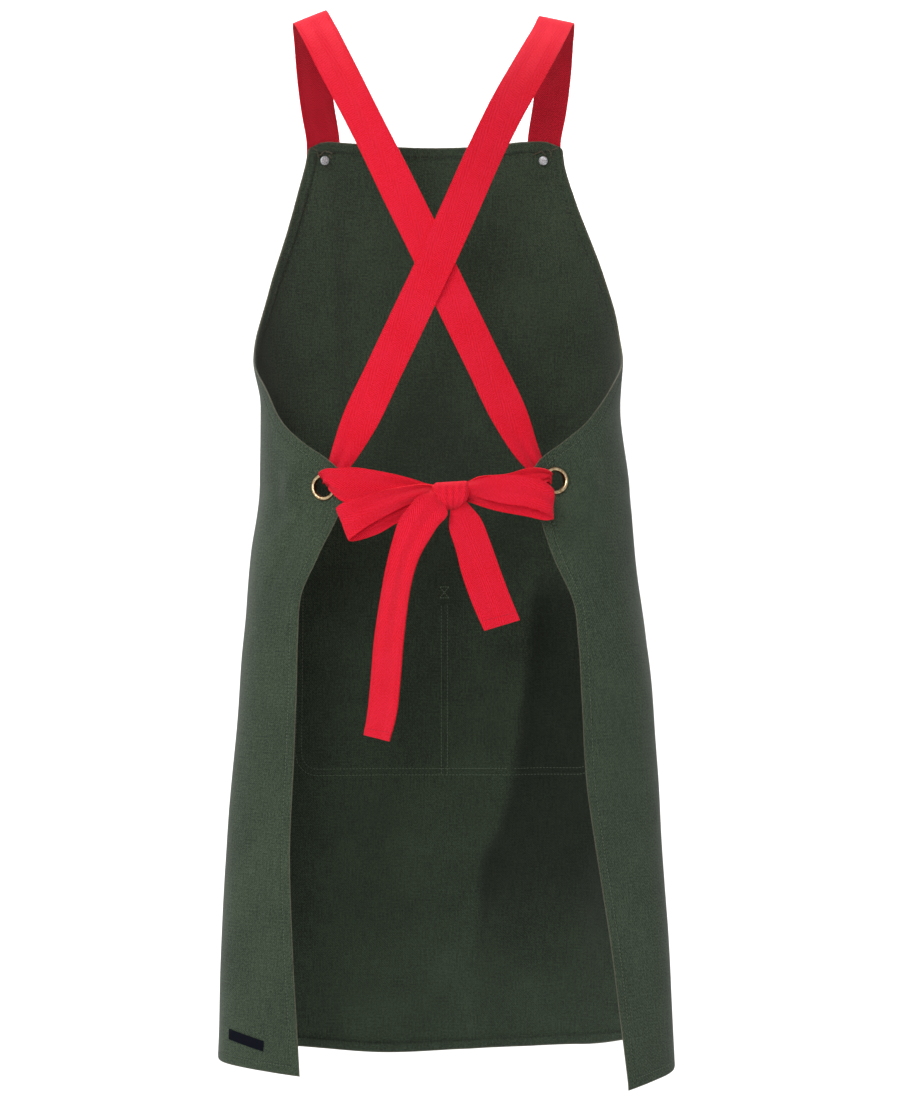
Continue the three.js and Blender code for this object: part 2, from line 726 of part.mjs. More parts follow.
// Bow. Loops: how far the middle line falls (front and back layer) and starts above the knot's middle,
// how it leans, how its end slants, how it stands out, and its width at each station as shares of the
// strap's width.
const loopForms = {
  left: {
    sign: -1,
    length: leftLoopLength,
    start: 0.02,
    frontFall: 0.28,
    backFall: 0.36,
    lean: 0.12,
    slant: 0.42,
    stand: 0.2,
    width: [0.5, 0.56, 0.78, 0.88, 0.9, 0.88, 0.76, 0.5],
  },
  right: {
    sign: 1,
    length: rightLoopLength,
    start: 0.11,
    frontFall: 0.21,
    backFall: 0.18,
    lean: 0.6,
    slant: 0.2,
    stand: 1.3,
    width: [0.5, 0.66, 0.66, 0.72, 0.76, 0.72, 0.66, 0.5],
  },
};

// Round a loop: reach from the knot, and layer, from the front one (1) to the back one (0).
const loopRun = [
  { reach: 0.0, layer: 1.0, face: -1 },
  { reach: 0.25, layer: 1.15, face: -1 },
  { reach: 0.60, layer: 1.4, face: -1 },
  { reach: 0.93, layer: 1.25, face: -0.8 },
  { reach: 1.0, layer: 0.5, face: 0 },
  { reach: 0.93, layer: -0.2, face: 0.8 },
  { reach: 0.45, layer: -0.1, face: 1 },
  { reach: 0.0, layer: 0.0, face: 1 },
];
const loopHold = 8;
const frontLayer = knotCentre.y - loopLayerDepth;

function loopBody(form) {
  const stations = loopRun.map(({ reach, layer, face }, i) => {
    const front = THREE.MathUtils.clamp(layer, 0, 1);
    const fall = THREE.MathUtils.lerp(form.backFall, form.frontFall, front);
    const open = Math.min(1, 3 * reach);
    const x = knotCentre.x + form.sign * (knotWidth / 2 - loopHold + reach * form.length);
    const y = frontLayer + (1 - layer - form.stand * open) * loopLayerGap;
    const z = knotCentre.z + (form.start * front - fall * reach) * form.length;
    const aside = 1 - Math.abs(face);
    return {
      at: vector(x, y, z),
      face: vector(form.sign * aside, face, -form.lean * face * open - form.slant * aside),
      width: strapWidth * form.width[i],
      thick: strapThickness,
    };
  });
  return toSolid(tape(stations, spanSteps)).subtract(knotRoom);
}

// Tails: how far across and down the middle line lies, as shares of the tail's drop, how far it is
// turned, how far it stands out, as a share of the knot's depth, and its width.
const leftTail = [
  { across: -0.045, down: -0.03, turn: 0.0, out: 0.36, width: 0.42 },
  { across: -0.075, down: 0.02, turn: -0.1, out: 0.60, width: 0.62 },
  { across: -0.110, down: 0.07, turn: -0.2, out: 0.62, width: 0.90 },
  { across: -0.161, down: 0.166, turn: -0.3, out: 0.52, width: 1.0 },
  { across: -0.205, down: 0.28, turn: -0.6, out: 0.40, width: 1.0 },
  { across: -0.240, down: 0.45, turn: -0.8, out: 0.32, width: 1.0 },
  { across: -0.266, down: 0.72, turn: -0.8, out: 0.26, width: 1.0 },
  { across: -0.300, down: 1.0, turn: -0.8, out: 0.20, width: 1.0 },
];
const rightTail = [
  { across: 0.075, down: -0.05, turn: 0.0, out: 0.18, width: 0.40 },
  { across: 0.108, down: 0.087, turn: 0.1, out: 0.20, width: 0.62 },
  { across: 0.145, down: 0.222, turn: 0.1, out: 0.24, width: 0.92 },
  { across: 0.20, down: 0.382, turn: 0.0, out: 0.26, width: 1.0 },
  { across: 0.265, down: 0.60, turn: 0.0, out: 0.24, width: 1.0 },
  { across: 0.338, down: 0.797, turn: 0.0, out: 0.20, width: 1.0 },
  { across: 0.423, down: 1.0, turn: 0.0, out: 0.14, width: 1.0 },
];
const tailHold = 4;

function tailBody(table, drop) {
  const stations = table.map(({ across, down, turn, out, width }) => ({
    at: vector(
      knotCentre.x + across * drop,
      knotCentre.y - out * knotDepth,
      knotCentre.z - tailHold - down * drop,
    ),
    face: vector(turn, -1, 0),
    width: strapWidth * width,
    thick: strapThickness,
  }));
  return toSolid(tape(stations, spanSteps)).subtract(knotRoom);
}

// Patch laid on the outside of the panel: a front pocket, or a label. Its lower corners may be round.
function patch({ around, down, tilt, width, height, cornerRadius, thickness, ease, columns, rows }) {
  const outer = [];
  const inner = [];
  for (let i = 0; i <= rows; i += 1) {
    const fall = (height * i) / rows;
    const low = Math.max(0, fall - (height - cornerRadius));
    const inset = cornerRadius - Math.sqrt(Math.max(0, cornerRadius ** 2 - low ** 2));
    const outerRow = [];
    const innerRow = [];
    for (let j = 0; j <= columns; j += 1) {
      const share = (2 * j) / columns - 1;
      const place = around + share * (width / 2 - inset * 0.92);
      const half = Math.sin(Math.PI * Math.abs(share)) * (1 - (i / rows) ** 2);
      const lift = clothThickness / 2 + touchGap * 1.5 + ease * half;
      const level = down + fall + (tilt * share) / 2;
      const point = panelPoint(place, level);
      const normal = panelNormal(place, level);
      outerRow.push(point.clone().addScaledVector(normal, lift + thickness));
      innerRow.push(point.clone().addScaledVector(normal, lift));
    }
    outer.push(outerRow);
    inner.push(innerRow);
  }
  return toSolid(wall(outer, inner)).subtract(panelKeepOut);
}

const pocketBody = patch({
  around: pocketShift,
  down: pocketDrop,
  tilt: 0,
  width: pocketWidth,
  height: pocketHeight,
  cornerRadius: pocketCornerRadius,
  thickness: pocketThickness,
  ease: pocketEase,
  columns: 20,
  rows: 9,
});

const labelShare = 0.856;
const labelHem = apronLength * (1 - tableValue(hemLine, 'across', 'rise', -labelShare));
const labelBody = patch({
  around: leftSide.sign * labelShare * (panelWidth / 2),
  down: labelHem - labelLift - labelHeight,
  tilt: -labelTilt,
  width: labelWidth,
  height: labelHeight,
  cornerRadius: 0,
  thickness: labelThickness,
  ease: 0,
  columns: 5,
  rows: 1,
});

// Colours and finishes
const cloth = { color: 0x3a463a, roughness: 0.95, metalness: 0 };
const redTape = { color: 0xdd1f36, roughness: 0.85, metalness: 0 };
const antiqueBrass = { color: 0xb59a72, roughness: 0.4, metalness: 0.9 };
const nickel = { color: 0x9ba0a4, roughness: 0.4, metalness: 0.9 };
const navyTape = { color: 0x171a26, roughness: 0.9, metalness: 0 };

const apron = new THREE.Group();

function place(name, geometry, finish) {
  const mesh = new THREE.Mesh(geometry, new THREE.MeshStandardMaterial(finish));
  mesh.name = name;
  apron.add(mesh);
}

place('apron_panel', toGeometry(panelSolid), cloth);
place('front_pocket', toGeometry(pocketBody), cloth);
place('strap_left', toGeometry(strapBody(underRun, leftSide, rightSide)), redTape);
place('strap_right', toGeometry(strapBody(overRun, rightSide, leftSide)), redTape);
place('bow_knot', toGeometry(knotBody), redTape);
place('bow_loop_left', toGeometry(loopBody(loopForms.left)), redTape);
place('bow_loop_right', toGeometry(loopBody(loopForms.right)), redTape);
place('bow_tail_left', toGeometry(tailBody(leftTail, leftTailLength)), redTape);
place('bow_tail_right', toGeometry(tailBody(rightTail, rightTailLength)), redTape);
for (const side of sides) {
  place(`eyelet_${side.name}`, side.eyeletSolid, antiqueBrass);
  place(`stud_${side.name}`, side.studSolid, nickel);
}
place('hem_label', toGeometry(labelBody), navyTape);

export default apron;
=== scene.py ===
import math

import bmesh
import bpy
from mathutils import Matrix, Vector, noise


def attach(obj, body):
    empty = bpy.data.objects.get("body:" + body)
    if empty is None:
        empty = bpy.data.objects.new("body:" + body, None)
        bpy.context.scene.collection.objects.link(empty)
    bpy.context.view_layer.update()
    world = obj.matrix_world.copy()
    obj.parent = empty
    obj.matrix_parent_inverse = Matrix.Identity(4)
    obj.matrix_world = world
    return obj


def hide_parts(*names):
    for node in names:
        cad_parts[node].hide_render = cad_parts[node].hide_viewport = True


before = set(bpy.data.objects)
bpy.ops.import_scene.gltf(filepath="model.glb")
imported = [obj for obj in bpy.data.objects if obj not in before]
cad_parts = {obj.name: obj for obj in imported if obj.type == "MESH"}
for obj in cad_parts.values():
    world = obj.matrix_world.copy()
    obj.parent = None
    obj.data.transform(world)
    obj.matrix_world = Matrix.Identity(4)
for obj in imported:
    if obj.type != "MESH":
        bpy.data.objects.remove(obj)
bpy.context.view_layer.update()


# Camera: it looks level at the open back of the apron from a little over three metres, a little to
# the right of the middle, so that the crossed tapes and the bow face it squarely.
camera_place = (0.0146, -3.2, -0.508)
camera_lens = 109.6

camera = bpy.data.objects.new("camera", bpy.data.cameras.new("camera"))
bpy.context.scene.collection.objects.link(camera)
camera.location = camera_place
camera.rotation_euler = (math.radians(90), 0, 0)
camera.data.sensor_width = 36
camera.data.lens = camera_lens
bpy.context.scene.camera = camera


# Cloth panel: one piece of dark green cotton twill, cut with a bib, two armholes and two wings that
# wrap round to the back. It keeps its worn form, and hangs in soft folds below the waist.
mm = 0.001
neck_drop = 110
apron_length = 896
flat_half = 413
bib_half = 127
bib_corner = 5
bib_rise, bib_rise_reach = 4, 50
tip_drop = 345
form_half, form_front, form_back, side_line, section_power = 219, 122, 120, 8, 2 / 2.4
form_step, form_reach, form_rise, form_rows, section_steps = 3, 145, 6, 156, 180
cloth_thickness, hem_thickness, hem_width, seam_inset = 1.5, 2.4, 10, 8.6
fold_depth = 5
eyelet_inset, eyelet_drop, eyelet_tilt, hole_radius = 24, 336, 2.8, 11.3
nail_insets, nail_down = (16, 19), 15
nail_arounds = (nail_insets[0] - bib_half, bib_half - nail_insets[1])
nail_groove, nail_groove_radius, nail_groove_width, nail_groove_end = 0.7, 6.8, 1.8, 14

# Down the apron as shares of its length: half widths left and right, depth in front, and depths at
# the back left and right, as shares of the form's half width, front and back depths.
body_form = [
    (0.00, 0.80, 0.80, 0.80, 0.75, 0.75),
    (0.08, 0.80, 0.80, 0.885, 0.80, 0.80),
    (0.24, 0.79, 0.818, 0.934, 0.83, 0.83),
    (0.29, 0.755, 0.806, 0.925, 0.86, 0.86),
    (0.37, 0.757, 0.845, 0.90, 0.90, 0.90),
    (0.45, 0.798, 0.875, 0.93, 0.92, 0.92),
    (0.60, 0.851, 0.957, 0.98, 0.95, 0.98),
    (0.78, 0.912, 1.005, 1.00, 0.98, 1.05),
    (1.00, 0.943, 1.045, 1.00, 1.00, 1.25),
]

# Armhole edges, from the bib's corner to the wing's tip: how far round each one is, left and right.
armhole = [
    (0.00, 0.000, 0.000), (0.05, 0.014, 0.009), (0.16, 0.062, 0.057), (0.27, 0.117, 0.125),
    (0.39, 0.193, 0.213), (0.51, 0.290, 0.305), (0.58, 0.385, 0.375), (0.64, 0.490, 0.470),
    (0.69, 0.565, 0.565), (0.74, 0.613, 0.630), (0.80, 0.688, 0.718), (0.86, 0.800, 0.842),
    (0.91, 0.915, 0.950), (0.95, 0.975, 0.992), (1.00, 1.000, 1.000),
]

# Back edges of the wings, from the tip to the hem, left and right.
back_edge = [
    (0.00, 0.898, 0.956), (0.05, 0.890, 0.951), (0.11, 0.873, 0.941), (0.18, 0.852, 0.926),
    (0.25, 0.864, 0.945), (0.35, 0.886, 0.975), (0.52, 0.920, 0.998), (0.75, 0.957, 0.992),
    (1.00, 1.000, 1.000),
]

# Hem line from the left wing's back edge (-1) to the right one's (1): how far it rises.
hem_line = [
    (-1.00, 0.012), (-0.75, 0.020), (-0.60, 0.029), (-0.35, 0.010), (-0.10, 0.000), (0.10, 0.004),
    (0.35, 0.010), (0.60, 0.029), (0.75, 0.016), (1.00, -0.002),
]

# Top edge of the bib, from corner to corner: the tapes lift it, and it sags between them.
bib_line = [
    (-1.00, -0.60), (-0.955, 0.30), (-0.86, 0.90), (-0.70, 0.75), (-0.45, 0.15), (0.00, -0.25),
    (0.45, 0.20), (0.73, 1.05), (0.86, 1.00), (0.95, 0.35), (1.00, -0.50),
]

# Soft folds down the cloth: place at the top and the bottom end, start and end down the apron,
# width, and depth as a share of the fold depth.
long_folds = [
    (-0.25, -0.27, 0.03, 0.42, 0.07, -0.7), (0.23, 0.25, 0.03, 0.40, 0.07, -0.7),
    (0.27, 0.17, 0.40, 0.84, 0.08, 0.7), (-0.30, -0.36, 0.50, 1.30, 0.09, 0.7),
    (0.24, 0.04, 0.70, 1.35, 0.08, -0.9), (0.42, 0.32, 0.70, 1.35, 0.08, 0.9),
    (-0.10, -0.16, 0.75, 1.35, 0.09, -0.6), (-0.72, -0.82, 0.42, 1.30, 0.07, 1.1),
    (-0.60, -0.64, 0.44, 1.30, 0.08, -1.0), (0.80, 0.86, 0.42, 1.30, 0.07, 1.1),
    (0.66, 0.68, 0.44, 1.30, 0.08, -1.0),
]


def read_table(table, at, column=1):
    """Value between the rows of a table, on a smooth line that never swings past its rows."""
    last = len(table) - 1
    at = min(max(at, table[0][0]), table[last][0])
    row = 0
    while row < last - 1 and at > table[row + 1][0]:
        row += 1

    def slope(i):
        return (table[i + 1][column] - table[i][column]) / (table[i + 1][0] - table[i][0])

    def tangent(i):
        if i == 0:
            return slope(0)
        if i == last:
            return slope(last - 1)
        before, after = slope(i - 1), slope(i)
        return 0 if before * after <= 0 else 2 * before * after / (before + after)

    run = table[row + 1][0] - table[row][0]
    t = (at - table[row][0]) / run
    return (
        table[row][column] * (1 + 2 * t) * (1 - t) ** 2
        + tangent(row) * run * t * (1 - t) ** 2
        + table[row + 1][column] * t * t * (3 - 2 * t)
        - tangent(row + 1) * run * t * t * (1 - t)
    )


def smooth(low, high, value):
    t = min(max((value - low) / (high - low), 0), 1)
    return t * t * (3 - 2 * t)


def body_section(down):
    """Outline of the worn cloth at one height, as points at even steps round from the front."""
    share = down / apron_length
    left, right, front, left_back, right_back = (read_table(body_form, share, k) for k in range(1, 6))
    outline = {}
    for sign, half, back in ((-1, left, left_back), (1, right, right_back)):
        walked, before, steps = 0, None, []
        for i in range(section_steps + 1):
            turn = math.pi * i / section_steps
            depth = front * form_front if turn < math.pi / 2 else back * form_back
            x = sign * half * form_half * math.sin(turn) ** section_power
            y = side_line + depth * math.copysign(abs(math.cos(turn)) ** section_power, math.cos(turn))
            if before is not None:
                walked += math.hypot(x - before[0], y - before[1])
            before = (x, y)
            steps.append((walked, x, y))
        k = 0
        for j in range(form_reach + 1):
            wanted = j * form_step
            while k < len(steps) - 2 and steps[k + 1][0] < wanted:
                k += 1
            (a, x0, y0), (b, x1, y1) = steps[k], steps[k + 1]
            t = (wanted - a) / max(b - a, 1e-6)
            outline[sign * j] = (x0 + (x1 - x0) * t, y0 + (y1 - y0) * t)
    return [outline[j] for j in range(-form_reach, form_reach + 1)]


sections = [body_section(form_rise * k) for k in range(form_rows)]


def form_point(around, down):
    """Place on the bare form, so far round from the front centre and so far below the bib's top."""
    row = min(max(down / form_rise, 0), form_rows - 1.01)
    column = min(max(around / form_step + form_reach, 0), 2 * form_reach - 0.01)
    i, j = int(row), int(column)
    t, s = row - i, column - j
    (ax, ay), (bx, by) = sections[i][j], sections[i][j + 1]
    (cx, cy), (dx, dy) = sections[i + 1][j], sections[i + 1][j + 1]
    x = (ax * (1 - s) + bx * s) * (1 - t) + (cx * (1 - s) + dx * s) * t
    y = (ay * (1 - s) + by * s) * (1 - t) + (cy * (1 - s) + dy * s) * t
    return Vector((x, y, -neck_drop - down))


def outward(point, around, down, reach=5):
    across = point(around + reach, down) - point(around - reach, down)
    along = point(around, down + reach) - point(around, down - reach)
    return across.cross(along).normalized()


class Wing:
    """One side of the panel, with the place and the axis of the eyelet in its tip."""

    def __init__(self, name, sign, column):
        self.name, self.sign, self.column = name, sign, column
        self.tip = sign * back_edge[0][column] * flat_half
        eyelet_place = (self.tip - sign * eyelet_inset, eyelet_drop - sign * eyelet_tilt)
        self.eyelet = form_point(*eyelet_place)
        self.axis = outward(form_point, *eyelet_place)


wings = [Wing("left", -1, 1), Wing("right", 1, 2)]
patch_reach, patch_fade = 29.8, 26

# Short creases: from and to (round, down), width and depth in millimetres. They pull from the
# eyelets, the nails and the lower ends of the long folds.
creases = [
    (-344, 350, -300, 392, 7, 1.6), (-338, 362, -312, 440, 8, -1.4), (-352, 366, -345, 470, 7, 1.3),
    (368, 350, 322, 396, 7, 1.6), (362, 362, 340, 450, 8, -1.4), (374, 368, 372, 470, 7, 1.2),
    (-300, 330, -240, 345, 9, -1.0), (322, 330, 262, 348, 9, -1.0),
    (-108, 40, -100, 262, 10, -2.2), (96, 22, 104, 190, 10, -2.0),
    (105, 425, 91, 500, 9, -2.4), (90, 500, 80, 650, 10, -3.0), (45, 548, 44, 600, 6, -1.4),
    (96, 640, 46, 880, 15, -3.0), (115, 818, 88, 884, 10, -2.2), (-40, 560, -60, 700, 16, 1.6),
    (60, 860, 52, 893, 6, 1.0), (96, 866, 92, 893, 6, -1.0), (140, 862, 132, 893, 7, 1.0),
]


# Deep fold in the front: down from the bib's top, how far round its crease runs. To the right of the
# crease the cloth falls away from it.
crease_line = [(400, 99), (520, 87), (628, 73), (670, 62), (710, 44), (896, 34)]
fall_depth, fall_width, fall_reach = 22, 26, 140


def fold_offset(around, down):
    share = down / apron_length
    offset = 0.0
    for top, bottom, start, end, width, depth in long_folds:
        along = (share - start) / (end - start)
        if 0 < along < 1:
            middle = (top + (bottom - top) * along) * flat_half
            aside = (around - middle) / (width * flat_half)
            if abs(aside) < 3:
                offset += depth * fold_depth * math.sin(math.pi * along) * math.exp(-aside * aside)
    for from_round, from_down, to_round, to_down, width, depth in creases:
        run_round, run_down = to_round - from_round, to_down - from_down
        length = math.hypot(run_round, run_down)
        along = ((around - from_round) * run_round + (down - from_down) * run_down) / length ** 2
        if -0.3 < along < 1.3:
            aside = ((around - from_round) * run_down - (down - from_down) * run_round) / length / width
            if abs(aside) < 3:
                fade = smooth(-0.3, 0.3, along) * (1 - smooth(0.6, 1.3, along))
                offset += depth * fade * math.exp(-aside * aside)
    aside = around - read_table(crease_line, down)
    if 0 < aside < fall_reach and down > 400:
        fade = smooth(400, 480, down) * (1 - 0.6 * smooth(740, 896, down))
        fade *= 1 - smooth(fall_reach - 55, fall_reach, aside)
        offset += fall_depth * fade * (1 - math.exp(-aside / fall_width))
    for nail_around in nail_arounds:
        away = math.hypot(around - nail_around, down - nail_down)
        if away < nail_groove_end:
            offset += nail_groove * math.exp(-((away - nail_groove_radius) / nail_groove_width) ** 2)
    slack = noise.noise(Vector((around * 0.011, down * 0.005, 4.0)))
    ripple = noise.noise(Vector((around * 0.035, down * 0.014, 9.0)))
    return offset + 2.2 * slack + 0.8 * ripple


def panel_point(around, down):
    place = form_point(around, down)
    wing = wings[0] if around < 0 else wings[1]
    away = place - wing.eyelet
    flat = 1 - smooth(patch_reach, patch_reach + patch_fade, away.length)
    place -= wing.axis * (away.dot(wing.axis) * flat)
    return place + outward(form_point, around, down) * (fold_offset(around, down) * (1 - flat))


def panel_edge(wing, drop):
    """How far round from the front centre the panel's edge is at a height."""
    if drop < tip_drop:
        share = read_table(armhole, drop / tip_drop, wing.column)
        rounding = max(0, bib_corner - drop)
        cut = bib_corner - math.sqrt(bib_corner ** 2 - rounding ** 2)
        return wing.sign * (bib_half + (abs(wing.tip) - bib_half) * share - cut)
    share = (drop - tip_drop) / (apron_length - tip_drop)
    return wing.sign * read_table(back_edge, share, wing.column) * flat_half


def panel_down(around, drop, left, right):
    """Real distance below the bib's top, with the rises of the bib's top edge and of the hem."""
    across = around / (-left if around < 0 else right)
    rise = read_table(hem_line, across) * apron_length
    lift = bib_rise * read_table(bib_line, across) * (1 - smooth(0, bib_rise_reach, drop))
    return drop - lift - rise * max(0, drop - tip_drop) / (apron_length - tip_drop)


def edge_slant(wing, drop):
    change = (panel_edge(wing, drop + 2) - panel_edge(wing, max(0, drop - 2))) / 4
    return min(1.8, math.hypot(1, change))


def place_in_panel(inset, wing, drop):
    """Flat place (round, down) on the panel, so far inside one wing's edge at a drop."""
    left, right = (panel_edge(w, drop) for w in wings)
    around = panel_edge(wing, drop) - wing.sign * inset * edge_slant(wing, drop)
    return around, panel_down(around, drop, left, right)


# Crossings of the panel's cloth: closer together along the edge, where the hem and its seam are.
hem_insets = [0, 0.5, 1.4, 4, 6.8, 8, 8.6, 9.2, 9.8, 10.4, 13, 17, 22, 28]
middle_steps = 172
hem_drops = [0, 0.5, 1.4, 3, 5, 6.8, 8, 8.6, 9.2, 9.8, 10.4, 13]
body_drops = [13 + (apron_length - 26) * (k / 200) for k in range(1, 200)]
drops = hem_drops + body_drops + [apron_length - d for d in reversed(hem_drops) if d not in (3, 5)]


def cloth_grid(columns, rows, place):
    """Grid of cloth. place(column, row) gives a crossing's place in millimetres, its flat place on
    the cloth, and how far inside the edge it is. The flat place becomes the UV map, in metres."""
    shape = bmesh.new()
    bmesh.ops.create_grid(shape, x_segments=columns, y_segments=rows, size=0.5)
    edge_layer = shape.verts.layers.float.new("edge")
    map_layer = shape.loops.layers.uv.new("cloth")
    flat = {}
    for vert in shape.verts:
        j = round((vert.co.x + 0.5) * columns)
        i = round((vert.co.y + 0.5) * rows)
        point, (across, along), inset = place(j, i)
        vert.co = Vector(point) * mm
        flat[vert] = (across * mm, along * mm)
        vert[edge_layer] = inset * mm
    for face in shape.faces:
        face.smooth = True
        for loop in face.loops:
            loop[map_layer].uv = flat[loop.vert]
    shape.normal_update()
    return shape


def into_object(shape, name, *finishes):
    mesh = bpy.data.meshes.new(name)
    shape.to_mesh(mesh)
    shape.free()
    piece = bpy.data.objects.new(name, mesh)
    bpy.context.scene.collection.objects.link(piece)
    for finish in finishes:
        mesh.materials.append(finish)
    return piece


def thicken(piece, thickness, offset=0.0, inner_finish=0, share=None):
    """Gives a sheet its thickness, less where share(inset in millimetres) is under one."""
    wall = piece.modifiers.new("thickness", "SOLIDIFY")
    wall.thickness = thickness * mm
    wall.offset = offset
    wall.material_offset = inner_finish
    if share:
        group = piece.vertex_groups.new(name="thickness")
        edges = piece.data.attributes["edge"].data
        for index, value in enumerate(edges):
            group.add([index], share(value.value / mm), "REPLACE")
        wall.vertex_group = group.name
    ready = piece.evaluated_get(bpy.context.evaluated_depsgraph_get())
    mesh = bpy.data.meshes.new_from_object(ready)
    piece.modifiers.clear()
    piece.data = mesh
    mesh.set_sharp_from_angle(angle=math.radians(60))
    return piece


class Shade:
    """A socket of a finish, so that sums on patterns read as sums."""

    def __init__(self, finish, socket):
        self.finish, self.socket = finish, socket

    def __add__(self, other):
        return self.finish.maths("ADD", self, other)

    def __sub__(self, other):
        return self.finish.maths("SUBTRACT", self, other)

    def __rsub__(self, other):
        return self.finish.maths("SUBTRACT", other, self)

    def __mul__(self, other):
        return self.finish.maths("MULTIPLY", self, other)

    def __truediv__(self, other):
        return self.finish.maths("DIVIDE", self, other)

    def __lt__(self, other):
        return self.finish.maths("LESS_THAN", self, other)

    __radd__, __rmul__ = __add__, __mul__

    def clamped(self):
        """The same sum, held between 0 and 1."""
        self.socket.node.use_clamp = True
        return self


class Finish:
    """A material that is put together node by node."""

    def __init__(self, name, **sockets):
        self.material = bpy.data.materials.new(name)
        self.material.use_nodes = True
        self.tree = self.material.node_tree
        self.shader = self.tree.nodes["Principled BSDF"]
        for key, value in sockets.items():
            self.shader.inputs[key.replace("_", " ")].default_value = value

    def node(self, kind, settings=None, inputs=None, output=0):
        made = self.tree.nodes.new("ShaderNode" + kind)
        for key, value in (settings or {}).items():
            if key == "stops":
                ramp = made.color_ramp.elements
                while len(ramp) < len(value):
                    ramp.new(1)
                for stop, (position, colour) in zip(ramp, value):
                    stop.position, stop.color = position, colour
            else:
                setattr(made, key, value)
        for key, value in (inputs or {}).items():
            if isinstance(value, Shade):
                self.tree.links.new(value.socket, made.inputs[key])
            else:
                made.inputs[key].default_value = value
        return Shade(self, made.outputs[output])

    def maths(self, operation, first, second=0.0):
        return self.node("Math", {"operation": operation}, {0: first, 1: second})

    def attribute(self, name):
        return self.node("Attribute", {"attribute_name": name}, None, 2)

    def ribs(self, place, pitch):
        """Even waves from 0 to 1, one to each pitch in millimetres."""
        return self.maths("SINE", place * (2 * math.pi / pitch)) * 0.5 + 0.5

    def flat(self):
        """Flat place on the cloth, across and along, in millimetres."""
        place = self.node("UVMap", {"uv_map": "cloth"})
        across = self.node("SeparateXYZ", None, {0: place}, 0) * 1000
        along = self.node("SeparateXYZ", None, {0: place}, 1) * 1000
        return across, along

    def spots(self, across, along, size, detail=2.0, seed=0.0):
        """Soft random pattern from 0 to 1, in spots of about that size in millimetres."""
        place = self.node("CombineXYZ", None, {0: across, 1: along, 2: seed})
        return self.node("TexNoise", None, {"Vector": place, "Scale": 1 / size, "Detail": detail})

    def mix(self, amount, first, second):
        return self.node(
            "Mix", {"data_type": "RGBA"}, {"Factor": amount, 6: first, 7: second}, 2)

    def bump(self, height, strength, distance, below=None):
        inputs = {"Height": height, "Strength": strength, "Distance": distance}
        if below:
            inputs["Normal"] = below
        return self.node("Bump", None, inputs)

    def set(self, key, value):
        self.tree.links.new(value.socket, self.shader.inputs[key])


def dyed(red, green, blue):
    """Colour of a finish, from the 0 to 255 steps it is seen in."""
    steps = [c / 255 for c in (red, green, blue)]
    return (*[c / 12.92 if c <= 0.04045 else ((c + 0.055) / 1.055) ** 2.4 for c in steps], 1)


twill_pitch, twill_weft_pitch, pucker_reach = 2.3, 1.1, 13.0


def twill_cloth(name, dark, light, edge_tint, painted_seam_shade, painted_hollow_shade=0.0):
    """Heavy cotton twill: diagonal ribs, uneven yarns, hem edges a little lighter and browner, and painted
    shade, both along the sunk seams and, where asked for, in the hollows of the form.
    """
    finish = Finish(name, Sheen_Weight=0.1, Sheen_Roughness=0.6, Specular_IOR_Level=0.2)
    across, along = finish.flat()
    rib = finish.ribs(across + along, twill_pitch)
    weft = finish.ribs(along, twill_weft_pitch)
    speckle = finish.spots(across, along, 1.7, 3.0)
    slub_down = finish.spots(across / 1.3, along / 22, 1.0, 2.0, 3.0)
    slub_across = finish.spots(across / 24, along / 1.3, 1.0, 2.0, 7.0)
    cloud = finish.spots(across, along, 60, 3.0, 11.0)
    tone = (rib * 0.5 + weft * 0.12 + speckle * 2.6 + slub_down * 0.9 + slub_across * 0.6
            + cloud * 0.6 - 2.21)
    colour = finish.mix(tone.clamped(), dark, light)
    # Painted shade: the back darkens towards near-black green where the panel stores it, beside the deep
    # crease and on the chest.
    colour = finish.mix(finish.attribute("shelter") * painted_hollow_shade, colour, dyed(14, 18, 14))
    edge = finish.attribute("edge") * 1000
    # Painted shade: a darker line along the sunk seam, nine millimetres in from the edge.
    seam = (1 - finish.maths("ABSOLUTE", edge - 9.0) / 1.5).clamped()
    colour = finish.mix(seam * painted_seam_shade, colour, dyed(24, 31, 24))
    # Hem edges turn lighter and browner within about a millimetre of the edge, in specks.
    edge_tint_mask = (1 - edge / 1.3).clamped() * (speckle * 0.9 + 0.1)
    finish.set("Base Color", finish.mix(edge_tint_mask.clamped(), colour, edge_tint))
    finish.set("Roughness", speckle * 0.12 + 0.84)
    pucker = finish.spots(across / 2.2, along / 2.2, 1.0, 1.0, 5.0)
    height = rib * 0.5 + weft * 0.15 + speckle * 0.6
    below = finish.bump(pucker * (edge < pucker_reach), 0.5, 0.0009)
    finish.set("Normal", finish.bump(height, 0.6, 0.0006, below))
    return finish.material


outer_twill = twill_cloth(
    "green_twill_face", dyed(39, 50, 38), dyed(77, 92, 72), dyed(112, 106, 88), 0.22)
# Back of the cloth: darker than the face, partly the back's own tone and partly painted shade for the inside
# of the worn form, with more painted shade in its hollows.
inner_twill_and_shade = twill_cloth(
    "green_twill_back_and_shade", dyed(33, 43, 32), dyed(68, 82, 64), dyed(98, 94, 78), 0.3, 0.55)


flat_places = []
for drop in drops:
    left, right = (panel_edge(w, drop) for w in wings)
    slants = [edge_slant(w, drop) for w in wings]
    left_side = [(left + inset * slants[0], inset) for inset in hem_insets]
    right_side = [(right - inset * slants[1], inset) for inset in reversed(hem_insets)]
    start, end = left_side[-1][0], right_side[0][0]
    middle = [(start + (end - start) * k / middle_steps, 99) for k in range(1, middle_steps)]
    row_inset = min(drop, apron_length - drop)
    flat_places.append([
        (around, panel_down(around, drop, left, right), min(inset, row_inset))
        for around, inset in left_side + middle + right_side
    ])


def panel_crossing(j, i):
    around, down, inset = flat_places[i][j]
    return panel_point(around, down), (around, -down), inset


